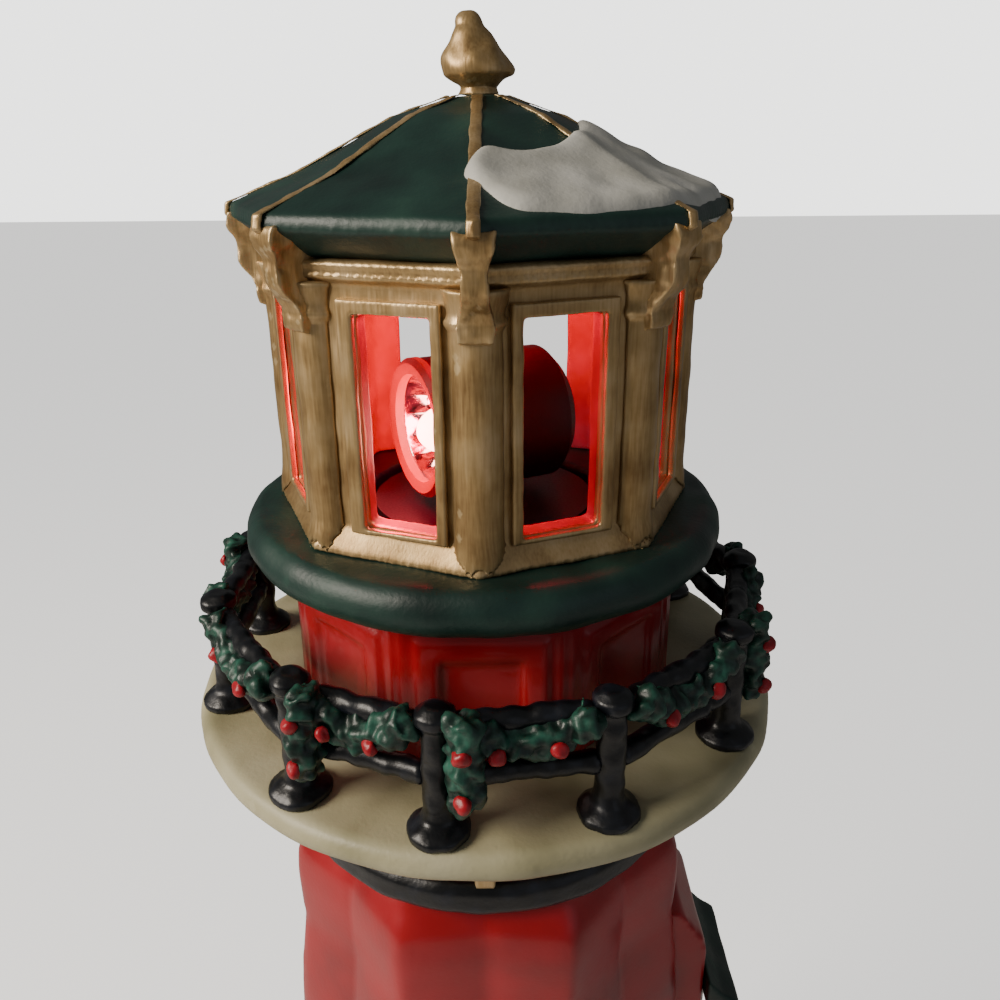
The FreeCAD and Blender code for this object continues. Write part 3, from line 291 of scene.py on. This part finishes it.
def moulded(name, colour, worn_colour, roughness, **sockets):
    """An even colour that hardly varies, with a fine texture: moulded plastic, or a metal when Metallic."""
    material, tree, shader = new_material(name, **sockets)
    place = add_node(tree, "ShaderNodeTexCoord").outputs["Object"]
    drift = add_node(tree, "ShaderNodeTexNoise", Vector=place, Scale=1 / (DRIFT_MM * MM), Detail=2.0)
    texture = add_node(tree, "ShaderNodeTexNoise", Vector=place, Scale=1 / (TEXTURE_MM * MM), Detail=2.0)
    shade = ramp(tree, drift.outputs["Fac"], [(0.35, colour), (0.7, worn_colour)])
    gloss = add_node(
        tree,
        "ShaderNodeMapRange",
        Value=texture.outputs["Fac"],
        i1=0.3,
        i2=0.7,
        i3=roughness - 0.05,
        i4=roughness + 0.08,
    )
    tooth = add_node(tree, "ShaderNodeBump", Strength=0.15, Distance=0.05 * MM, Height=texture.outputs["Fac"])
    link_surface(tree, shader, shade, gloss.outputs[0], tooth.outputs[0])
    return material


beacon_plastic = moulded("beacon_plastic", "#1d0508", "#2a070c", 0.45)
rim_plastic = moulded("rim_plastic", "#7a0c1c", "#931426", 0.4)
white_plastic = moulded("white_plastic", "#d9d8d2", "#e6e5e0", 0.42)
dark_plastic = moulded("dark_plastic", "#17181a", "#232427", 0.45)
battery_sleeve = moulded("battery_sleeve", "#2a3f5c", "#355074", 0.3)
rubber = moulded("rubber", "#121212", "#1c1c1b", 0.8)
steel = moulded("steel", "#a8a9ab", "#c3c4c6", 0.28, Metallic=1.0)
brass = moulded("brass", "#b08d4c", "#c8a660", 0.3, Metallic=1.0)
reflector_chrome = moulded("reflector_chrome", "#dcdcdc", "#f0f0f0", 0.12, Metallic=1.0)
lamp_glow = new_material(
    "lamp_glow", Base_Color=to_linear("#ffd8cc"), Emission_Color=to_linear("#ffb9a6"), Emission_Strength=14.0
)[0]
print("finishes:", len(bpy.data.materials))

# %% [markdown]
# ## Finishes on the CAD pieces
# A CAD piece whose shape is right keeps it and only takes its finish. The list gives each finish its pieces.

# %% Give the CAD pieces their finishes
FINISHES = {
    gold_paint: "finial roof_ribs corner_brackets lantern_frame pilasters window_trims corbels",
    green_paint: "roof lantern_deck bay_roof",
    snow_paint: "roof_snow",
    red_paint: "watch_room tower bay front_door",
    cream_paint: "gallery_deck door_step plinth",
    black_paint: "railing_posts railing_rails gallery_band",
    garland_paint: "garland",
    berry_paint: "garland_berries",
    beacon_plastic: "beacon_housing",
    rim_plastic: "beacon_rim",
    reflector_chrome: "beacon_reflector",
    lamp_glow: "beacon_lamp",
    steel: "drive_shaft base_screws plate_screws motor motor_plate battery_contacts",
    brass: "slip_rings shaft_bush",
    white_plastic: "drive_gear motor_pinion switch_slider bay_window",
    dark_plastic: "turntable base_plate battery_box battery_door switch_body brush_block",
    battery_sleeve: "batteries",
    rubber: "rubber_feet",
}
for finish, names in FINISHES.items():
    for name in names.split():
        node = frame["nodes"][name]
        node.data.materials.clear()
        node.data.materials.append(finish)
print("CAD pieces with a finish:", sum(len(names.split()) for names in FINISHES.values()))

# %% [markdown]
# ## Soft castings
# The mould and the paint round every edge of the real ornament. A copy of a CAD piece is merged, remeshed into small
# even quads, smoothed a few times so that its edges soften, and pushed in and out by a smooth noise of a tenth of a
# millimetre or so. The CAD piece is then hidden and this one stands for it.

# %% Lines and octagons
CORNERS = 8


def along_line(points, at):
    """Reads a height off a line of (place, height) points."""
    for (x0, y0), (x1, y1) in zip(points, points[1:]):
        if at <= x1:
            return y0 + (y1 - y0) * max(0.0, at - x0) / (x1 - x0)
    return points[-1][1]


def octagon_distance(x, y):
    """Distance from the axis to the flat side of an octagon through this point, corners facing the viewer."""
    turns = [math.radians(360 / CORNERS * (side + 0.5)) for side in range(CORNERS)]
    return max(x * math.cos(turn) + y * math.sin(turn) for turn in turns)


print("flat side of an octagon whose corner is 10 mm out, mm:", round(octagon_distance(0, -10), 2))


# %% Making and smoothing a mesh
WELD_MM = 0.002


def new_piece(name, maker):
    """A new object in the scene with the mesh that a bmesh holds."""
    mesh = bpy.data.meshes.new(name)
    maker.to_mesh(mesh)
    maker.free()
    piece = bpy.data.objects.new(name, mesh)
    bpy.context.scene.collection.objects.link(piece)
    return piece


def merged_copy(node_name, name):
    """A new object with a CAD piece's mesh, its loose triangles joined."""
    made = bmesh.new()
    made.from_mesh(frame["nodes"][node_name].data)
    bmesh.ops.remove_doubles(made, verts=made.verts, dist=WELD_MM * MM)
    return new_piece(name, made)


def apply_modifiers(piece):
    """Writes the result of a piece's modifiers into its own mesh."""
    graph = bpy.context.evaluated_depsgraph_get()
    result = bpy.data.meshes.new_from_object(piece.evaluated_get(graph))
    piece.modifiers.clear()
    old = piece.data
    piece.data = result
    bpy.data.meshes.remove(old)


def add_smoothing(piece, rounds):
    """Draws every vertex towards its neighbours a few times."""
    soften = piece.modifiers.new("soften", "SMOOTH")
    soften.iterations = rounds
    soften.factor = 0.5


def remesh(piece, voxel_mm, rounds):
    """Even quads of one size, then a few rounds of smoothing."""
    grid = piece.modifiers.new("even quads", "REMESH")
    grid.mode = "VOXEL"
    grid.voxel_size = voxel_mm * MM
    add_smoothing(piece, rounds)
    apply_modifiers(piece)


def flat_slab(name, outline, height_mm):
    """A slab with this outline in plan, from zero up to its height."""
    made = bmesh.new()
    face = made.faces.new([made.verts.new((x * MM, y * MM, 0)) for x, y in outline])
    top = bmesh.ops.extrude_face_region(made, geom=[face])
    lifted = [part for part in top["geom"] if isinstance(part, bmesh.types.BMVert)]
    bmesh.ops.translate(made, verts=lifted, vec=(0, 0, height_mm * MM))
    bmesh.ops.recalc_face_normals(made, faces=made.faces)
    bmesh.ops.triangulate(made, faces=made.faces)
    return new_piece(name, made)


def push_by_noise(piece, depth_mm, size_mm, swell_mm=0.0):
    """Moves each vertex along its normal by a smooth noise, and outward by a fixed swell."""
    made = bmesh.new()
    made.from_mesh(piece.data)
    made.normal_update()
    for vertex in made.verts:
        height = noise.noise(vertex.co / (size_mm * MM)) * depth_mm + swell_mm
        vertex.co += vertex.normal * height * MM
    made.to_mesh(piece.data)
    made.free()


# %% Soft casting from a CAD piece
def finish_piece(piece, material, slot, *replaced):
    """Gives a piece its finish, ties it to the body of the first CAD piece that it stands for and hides those; slot is
    not used.
    """
    piece.data.materials.clear()
    piece.data.materials.append(material)
    for face in piece.data.polygons:
        face.use_smooth = True
        face.material_index = 0
    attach(piece, frame["nodes"][replaced[0]]["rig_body"])
    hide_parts(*replaced)
    print(piece.name, "faces:", len(piece.data.polygons))


def soft_casting(node_name, material, voxel_mm, rounds, lump_mm, lump_size_mm, swell_mm=0.0, move=None):
    """The whole recipe for one CAD piece. move may give each vertex, in millimetres, a new place."""
    piece = merged_copy(node_name, node_name + "_cast")
    remesh(piece, voxel_mm, rounds)
    if move:
        for vertex in piece.data.vertices:
            vertex.co = move(vertex.co / MM) * MM
    push_by_noise(piece, lump_mm, lump_size_mm, swell_mm)
    finish_piece(piece, material, material.name.split(".")[0], node_name)
    return piece


# %% [markdown]
# ## Railing set by hand
# The posts of the real railing don't stand at equal spaces: the ones beside the front post are nearer to it than a
# plan would have them. Everything on the railing is turned about the tower by the same small, smooth amount, so that
# rails, garland and berries stay with their posts.

# %% Uneven railing
POST_SHIFTS = [(-39.7, 4.5), (25.7, -2.2)]
SHIFT_SPREAD = 15.0
GARLAND_LIFT = 0.5


def turn_from_front(spot):
    """Degrees about the tower, counted from the viewer's side."""
    return math.degrees(math.atan2(spot.x, -spot.y))


def settle_post(spot):
    """Turns a point of the railing about the tower, most near the two uneven posts."""
    turn = turn_from_front(spot)
    nudge = sum(shift * math.exp(-(((turn - place) / SHIFT_SPREAD) ** 2)) for place, shift in POST_SHIFTS)
    return Matrix.Rotation(math.radians(nudge), 3, "Z") @ spot


def settle_garland(spot):
    """The garland goes with its posts and sits a little higher on its rail than the plan has it."""
    return settle_post(spot) + Vector((0, 0, GARLAND_LIFT))


print("posts moved, degrees:", [shift for place, shift in POST_SHIFTS])


# %% [markdown]
# ## Windows, tower and bay set by hand
# The same hand moved a few other things. The two front windows sit nearer to the pilaster between them, the corners
# of the tower are half lost under paint, and the bay's little roof sits lower than the plan has it. Each is a function
# that gives a point of the piece its new place, in millimetres.

# %% Other gestures
WINDOW_SHIFTS = [
    (-45, 0.0), (-38, 0.3), (-33, 2.0), (-22, 1.6), (-12, 1.4), (-6, 0.2),
    (6, -0.2), (12, -1.2), (22, -0.8), (33, -0.3), (45, 0.0),
]
ROUNDING = 0.5
ROUND_REACH = 1.04
BAY_ROOF_SHARE, BAY_ROOF_SHIFT, BAY_ROOF_DROP = 0.8, 1.0, 3.0


def settle_window(spot):
    """Draws the two front windows a degree or so towards the front pilaster."""
    turn = turn_from_front(spot)
    if abs(turn) >= WINDOW_SHIFTS[-1][0]:
        return spot
    return Matrix.Rotation(math.radians(along_line(WINDOW_SHIFTS, turn)), 3, "Z") @ spot


def soften_octagon(spot):
    """Rounds the eight-sided tower part of the way to a circle, as many coats of paint do."""
    flat = octagon_distance(spot.x, spot.y)
    reach = spot.xy.length
    rounded = reach * (1 - ROUNDING) + flat * ROUND_REACH * ROUNDING
    return Vector((spot.x * rounded / reach, spot.y * rounded / reach, spot.z))


def settle_bay_roof(spot):
    """Draws the bay's little roof in and down, as far as the real one sits below the gallery."""
    return Vector((spot.x, spot.y * BAY_ROOF_SHARE - BAY_ROOF_SHIFT, spot.z - BAY_ROOF_DROP))


print("bay roof lowered, mm:", BAY_ROOF_DROP)


# %% [markdown]
# ## The set of castings
# One row makes one piece: its CAD node, its paint, the size of its quads, the rounds of smoothing, how deep and how
# long its lumps are, how much the paint swells it, and the gesture that moves it. Small sharp things get small quads,
# and the tower, which is large and plain, gets big ones.

# %% The castings
CASTINGS = [
    ("roof", green_paint, 0.4, 3, 0.18, 5.0),
    ("roof_ribs", gold_paint, 0.13, 6, 0.12, 1.6),
    ("lantern_frame", gold_paint, 0.3, 2, 0.08, 3.0, 0.0, settle_window),
    ("pilasters", gold_paint, 0.25, 2, 0.12, 2.5),
    ("window_trims", gold_paint, 0.18, 2, 0.08, 2.0, 0.0, settle_window),
    ("lantern_deck", green_paint, 0.35, 4, 0.18, 4.0),
    ("watch_room", red_paint, 0.4, 2, 0.1, 6.0),
    ("gallery_deck", cream_paint, 0.4, 3, 0.2, 6.0),
    ("railing_posts", black_paint, 0.2, 2, 0.16, 1.4, 0.0, settle_post),
    ("railing_rails", black_paint, 0.22, 2, 0.3, 1.6, 0.22, settle_post),
    ("garland", garland_paint, 0.22, 7, 0.75, 1.0, 0.15, settle_garland),
    ("garland_berries", berry_paint, 0.16, 2, 0.25, 0.9, 0.0, settle_post),
    ("gallery_band", black_paint, 0.3, 3, 0.15, 3.0),
    ("corbels", gold_paint, 0.3, 2, 0.15, 2.0),
    ("tower", red_paint, 0.8, 6, 0.1, 9.0, 0.0, soften_octagon),
    ("bay", red_paint, 0.5, 2, 0.12, 6.0),
    ("bay_roof", green_paint, 0.35, 3, 0.15, 4.0, 0.0, settle_bay_roof),
    ("front_door", red_paint, 0.35, 1, 0.06, 4.0),
    ("door_step", cream_paint, 0.45, 3, 0.2, 4.0),
    ("plinth", cream_paint, 0.8, 3, 0.3, 8.0),
]
castings = {row[0]: soft_casting(*row) for row in CASTINGS}
print("castings:", len(castings))

# %% [markdown]
# ## Bare resin inside the lantern, with a painted red glow
# The gold was brushed on from outside only. The reveals of the windows and the room behind them are bare resin,
# and its colour is painted red as a painted glow of the lamp's light on it, which is why they blaze. The faces nearer
# the axis than the wall's outer skin take that second finish.

# %% Bare resin with a painted red glow on the inner faces
WALL_SKIN_MM = 18.3
ROOM_FLOOR_MM = 190.5
ROOM_CEILING_MM = 216.0
lantern_mesh = castings["lantern_frame"].data
# The inner faces take the resin whose red is a painted glow of the lamp's light.
lantern_mesh.materials.append(bare_resin_painted_glow)
painted_glow_faces = 0
for face in lantern_mesh.polygons:
    spot = face.center / MM
    if ROOM_FLOOR_MM < spot.z < ROOM_CEILING_MM and octagon_distance(spot.x, spot.y) < WALL_SKIN_MM:
        face.material_index = 1
        painted_glow_faces += 1
print("bare resin faces:", painted_glow_faces)

# %% [markdown]
# ## Finial
# The real knob was pressed by hand into its mould: it leans to the left, and its right shoulder hangs lower and sticks
# out. The turned CAD knob is remeshed and its points are moved by those two gestures.

# %% Finial
finial_low, finial_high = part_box("finial")
FINIAL_LEAN = 0.8
# Heading in radians, share of the height, spread of that share, and how far the paint stands out.
SHOULDER = (-0.35, 0.3, 0.1, 0.55)
CHEEK = (3.0, 0.42, 0.16, 0.25)


def lean_and_bulge(spot):
    """Leans the knob to the left with height and pushes its right shoulder out low down."""
    share = (spot.z * MM - finial_low.z) / (finial_high.z - finial_low.z)
    turn = math.atan2(spot.y, spot.x)
    out = 0.0
    for heading, middle, spread, depth in (SHOULDER, CHEEK):
        facing = max(0.0, math.cos(turn - heading)) ** 2
        out += depth * (facing * math.exp(-(((share - middle) / spread) ** 2)))
    lean = FINIAL_LEAN * share**2
    return Vector((spot.x + out * math.cos(turn) - lean, spot.y + out * math.sin(turn), spot.z))


soft_casting(
    "finial", gold_paint, voxel_mm=0.15, rounds=4, lump_mm=0.3, lump_size_mm=1.8, move=lean_and_bulge
)

# %% [markdown]
# ## Scroll brackets
# Under each corner of the eaves a carved bracket carries the roof. It flares under the rim, follows the cove down to a
# waist and ends in a scroll on the capital. Its side view is drawn once, given a thickness, remeshed, and then
# narrowed and waved along its height; eight turned copies make the set.

# %% Scroll brackets
BRACKET_SIDE = [
    (23.7, 219.1), (23.8, 217.4), (23.5, 215.8), (22.8, 213.8), (21.9, 212.0), (21.4, 210.6),
    (20.4, 210.2), (19.6, 211.0), (19.6, 216.5), (21.4, 219.3),
]
BRACKET_WIDTH = 3.3
BRACKET_WAVE = 0.22
BRACKET_WAVES = 2.4
BRACKET_WIDTHS = [(0.0, 1.0), (0.12, 0.92), (0.35, 0.6), (0.6, 0.66), (0.82, 0.95), (1.0, 0.8)]


def carve_bracket(spot):
    """Narrows a bracket along its height and waves its front."""
    top, foot = BRACKET_SIDE[0][1], BRACKET_SIDE[6][1]
    share = (top - spot.z) / (top - foot)
    wave = BRACKET_WAVE * math.sin(share * 2 * math.pi * BRACKET_WAVES)
    return Vector((spot.x + wave, spot.y * along_line(BRACKET_WIDTHS, share), spot.z))


def lay_flat(outline, width_mm, name):
    """A slab whose outline stands in the plane of X and Z, centred on Y."""
    slab = flat_slab(name, outline, width_mm)
    upright = Matrix.Translation((0, width_mm / 2 * MM, 0)) @ Matrix.Rotation(math.pi / 2, 4, "X")
    slab.data.transform(upright)
    return slab


def ring_of_eight(piece):
    """Turns a piece into a copy at each corner round the axis, in its own mesh."""
    made = bmesh.new()
    for _ in range(CORNERS):
        piece.data.transform(Matrix.Rotation(2 * math.pi / CORNERS, 4, "Z"))
        made.from_mesh(piece.data)
    made.to_mesh(piece.data)
    made.free()


bracket = lay_flat(BRACKET_SIDE, BRACKET_WIDTH, "scroll_brackets")
remesh(bracket, voxel_mm=0.18, rounds=3)
for vertex in bracket.data.vertices:
    vertex.co = carve_bracket(vertex.co / MM) * MM
push_by_noise(bracket, depth_mm=0.14, size_mm=0.9)
ring_of_eight(bracket)
finish_piece(bracket, gold_paint, "gold_paint", "corner_brackets")

# %% [markdown]
# ## Snow on the roof
# The snow is a raised patch on two faces of the roof, about a millimetre thick, with a rounded lip. Its outline is
# drawn in plan, extruded, remeshed, and each point is then laid on the roof: the bottom just under the roof's
# surface, the top as high as its distance from the edge allows.

# %% Snow
ROOF_LINE = [
    (0, 229.5), (2.8, 228.8), (7.7, 227.1), (12.4, 224.8), (17.1, 222.4), (19.9, 221.2), (23.6, 219.9), (24.3, 217.0),
]
SNOW_OUTLINE = [
    (-0.9, -17.0), (-0.4, -14.9), (0.4, -12.9), (2.4, -12.8), (4.4, -12.3), (5.9, -10.9), (7.0, -9.7), (8.1, -7.9),
    (9.2, -2.2), (9.0, 2.0), (11.0, 6.2), (16.5, 8.2), (21.6, 6.3), (22.9, 1.5), (22.6, -3.0), (20.7, -7.9),
    (17.6, -14.2), (14.2, -17.6), (9.4, -19.7), (6.3, -20.9), (4.1, -21.3), (2.8, -20.9), (1.6, -20.1), (0.3, -18.8),
]
SNOW_DEPTH = 0.95
SNOW_LIP = 1.2
SNOW_ROOT = 0.4
SNOW_SLAB = 2.0


def cut_corners(points, rounds):
    """Rounds a closed outline by cutting its corners a few times."""
    for _ in range(rounds):
        cut = []
        for here, there in zip(points, points[1:] + points[:1]):
            cut.append([a * 0.75 + b * 0.25 for a, b in zip(here, there)])
            cut.append([a * 0.25 + b * 0.75 for a, b in zip(here, there)])
        points = cut
    return points


def edge_distance(x, y, outline):
    """Distance to the nearest side of a closed outline."""
    nearest = 1e9
    for (x0, y0), (x1, y1) in zip(outline, outline[1:] + outline[:1]):
        dx, dy = x1 - x0, y1 - y0
        share = min(1.0, max(0.0, ((x - x0) * dx + (y - y0) * dy) / (dx * dx + dy * dy)))
        nearest = min(nearest, math.hypot(x - x0 - share * dx, y - y0 - share * dy))
    return nearest


snow_edge = cut_corners([list(point) for point in SNOW_OUTLINE], 2)
snow = flat_slab("snow_patch", snow_edge, SNOW_SLAB)
remesh(snow, voxel_mm=0.3, rounds=0)
for vertex in snow.data.vertices:
    x, y, level = vertex.co / MM
    rise = min(1.0, edge_distance(x, y, snow_edge) / SNOW_LIP)
    depth = SNOW_DEPTH * math.sqrt(1 - (1 - rise) ** 2)
    ground = along_line(ROOF_LINE, octagon_distance(x, y) / math.cos(math.pi / CORNERS))
    share = min(1.0, max(0.0, level / SNOW_SLAB))
    vertex.co.z = (ground - SNOW_ROOT + share * (SNOW_ROOT + depth)) * MM
add_smoothing(snow, 5)
apply_modifiers(snow)
push_by_noise(snow, depth_mm=0.25, size_mm=3.0)
finish_piece(snow, snow_paint, "snow_paint", "roof_snow")

# %% [markdown]
# ## Reflector and lamp
# The beacon's bowl is chromed and fluted, so that it throws the lamp's light about in rays. The lamp itself is small,
# but it dazzles, and it is drawn as a glowing bulb that fills the middle of the bowl.

# %% Reflector and lamp
BEACON_MIDDLE = Vector((0, 0, 198.3))
LENS_HEADING = math.radians(207)
FLUTES = 7
BOWL_EDGE = 6.4
FLUTE_FADE = 2.5
FLUTE_DEPTH = 0.1
lens_way = Vector((math.cos(LENS_HEADING), math.sin(LENS_HEADING), 0))
lens_side = Vector((-math.sin(LENS_HEADING), math.cos(LENS_HEADING), 0))


def flute(spot):
    """Presses flutes into the bowl round the beacon's own axis."""
    offset = spot - BEACON_MIDDLE
    along = offset.dot(lens_way)
    sideways, up = offset.dot(lens_side), offset.z
    turn = math.atan2(up, sideways)
    depth = min(1.0, max(0.0, (BOWL_EDGE - along) / FLUTE_FADE))
    reach = math.hypot(sideways, up) * (1 - FLUTE_DEPTH * depth * abs(math.sin(FLUTES * turn)))
    rise = Vector((0, 0, reach * math.sin(turn)))
    return BEACON_MIDDLE + lens_way * along + lens_side * reach * math.cos(turn) + rise


soft_casting(
    "beacon_reflector", reflector_chrome, voxel_mm=0.13, rounds=1, lump_mm=0.0, lump_size_mm=1.0, move=flute
)

BULB_RADIUS = 2.5
BULB_STRETCH = 1.35
BULB_FORWARD = 1.2
BULB_DROP = 0.6
lamp_low, lamp_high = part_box("beacon_lamp")
lamp_middle = (lamp_low + lamp_high) / 2 + lens_way * BULB_FORWARD * MM - Vector((0, 0, BULB_DROP)) * MM
bulb_maker = bmesh.new()
bmesh.ops.create_uvsphere(bulb_maker, u_segments=32, v_segments=20, radius=BULB_RADIUS * MM)
bmesh.ops.scale(bulb_maker, vec=(BULB_STRETCH, 1.0, 1.0), verts=bulb_maker.verts)
bmesh.ops.rotate(bulb_maker, matrix=Matrix.Rotation(LENS_HEADING, 3, "Z"), verts=bulb_maker.verts)
bmesh.ops.translate(bulb_maker, vec=lamp_middle, verts=bulb_maker.verts)
finish_piece(new_piece("lamp_bulb", bulb_maker), lamp_glow, "lamp_glow", "beacon_lamp")

# %% [markdown]
# ## Stage
# A pale floor, a pale surround and soft light from the upper left, as from a window. The red comes partly from a real
# light in the lantern, falling on the window frames from inside, and partly from the red glow painted on the bare
# resin. The floor and the surround are brighter for the camera's own rays than for the light that they throw, so that
# they look like lit paper and the paint stays deep.


# %% Light
def add_light(name, kind, spot_mm, aim_mm, power, size_mm, colour):
    """A lamp at a spot in millimetres, pointed at another spot."""
    light = bpy.data.lights.new(name, kind)
    light.energy = power
    light.color = to_linear(colour)[:3]
    if kind == "AREA":
        light.size = size_mm * MM
    else:
        light.shadow_soft_size = size_mm * MM
    holder = bpy.data.objects.new(name, light)
    holder.location = Vector(spot_mm) * MM
    holder.rotation_mode = "QUATERNION"
    holder.rotation_quaternion = (Vector(aim_mm) - Vector(spot_mm)).to_track_quat("-Z", "Y")
    bpy.context.scene.collection.objects.link(holder)


add_light("window_light", "AREA", (-360, -150, 380), (0, 0, 190), 2.4, 200, "#fff4e6")
add_light("fill_light", "AREA", (260, -300, 260), (0, 0, 180), 0.07, 300, "#e4ebff")
add_light("lantern_glow", "POINT", (0, 0, 211), (0, 0, 200), 0.018, 3, "#ff0038")
add_light("lens_glow", "POINT", (-9.8, -5.0, 198.3), (0, 0, 200), 0.016, 2, "#ff0a40")
print("lights: window, fill, lantern glow and lens glow")

# %% Floor and surround
ROOM_LIGHT = 0.14
FLOOR_LIGHT = 1.1
BACKDROP_LIGHT = 3.0
FLOOR_SIZE = 3.0
floor_maker = bmesh.new()
bmesh.ops.create_grid(floor_maker, x_segments=1, y_segments=1, size=FLOOR_SIZE)
floor = new_piece("floor", floor_maker)
floor_finish, floor_tree, floor_shader = new_material(
    "floor_paper", Base_Color=to_linear("#e9e8e6"), Roughness=0.8, Emission_Color=to_linear("#f4f3f1")
)
floor_seen = add_node(floor_tree, "ShaderNodeLightPath").outputs["Is Camera Ray"]
floor_glow = add_node(floor_tree, "ShaderNodeMapRange", Value=floor_seen, i3=0.0, i4=FLOOR_LIGHT)
floor_tree.links.new(floor_glow.outputs[0], floor_shader.inputs["Emission Strength"])
floor.data.materials.append(floor_finish)

world = bpy.data.worlds.new("surround")
world.use_nodes = True
bpy.context.scene.world = world
surround = world.node_tree.nodes["Background"]
seen = add_node(world.node_tree, "ShaderNodeLightPath").outputs["Is Camera Ray"]
brightness = add_node(world.node_tree, "ShaderNodeMapRange", Value=seen, i3=ROOM_LIGHT, i4=BACKDROP_LIGHT)
world.node_tree.links.new(brightness.outputs[0], surround.inputs["Strength"])
surround.inputs["Color"].default_value = to_linear("#f6f6f4")

print("backdrop light:", BACKDROP_LIGHT, "floor light:", FLOOR_LIGHT)
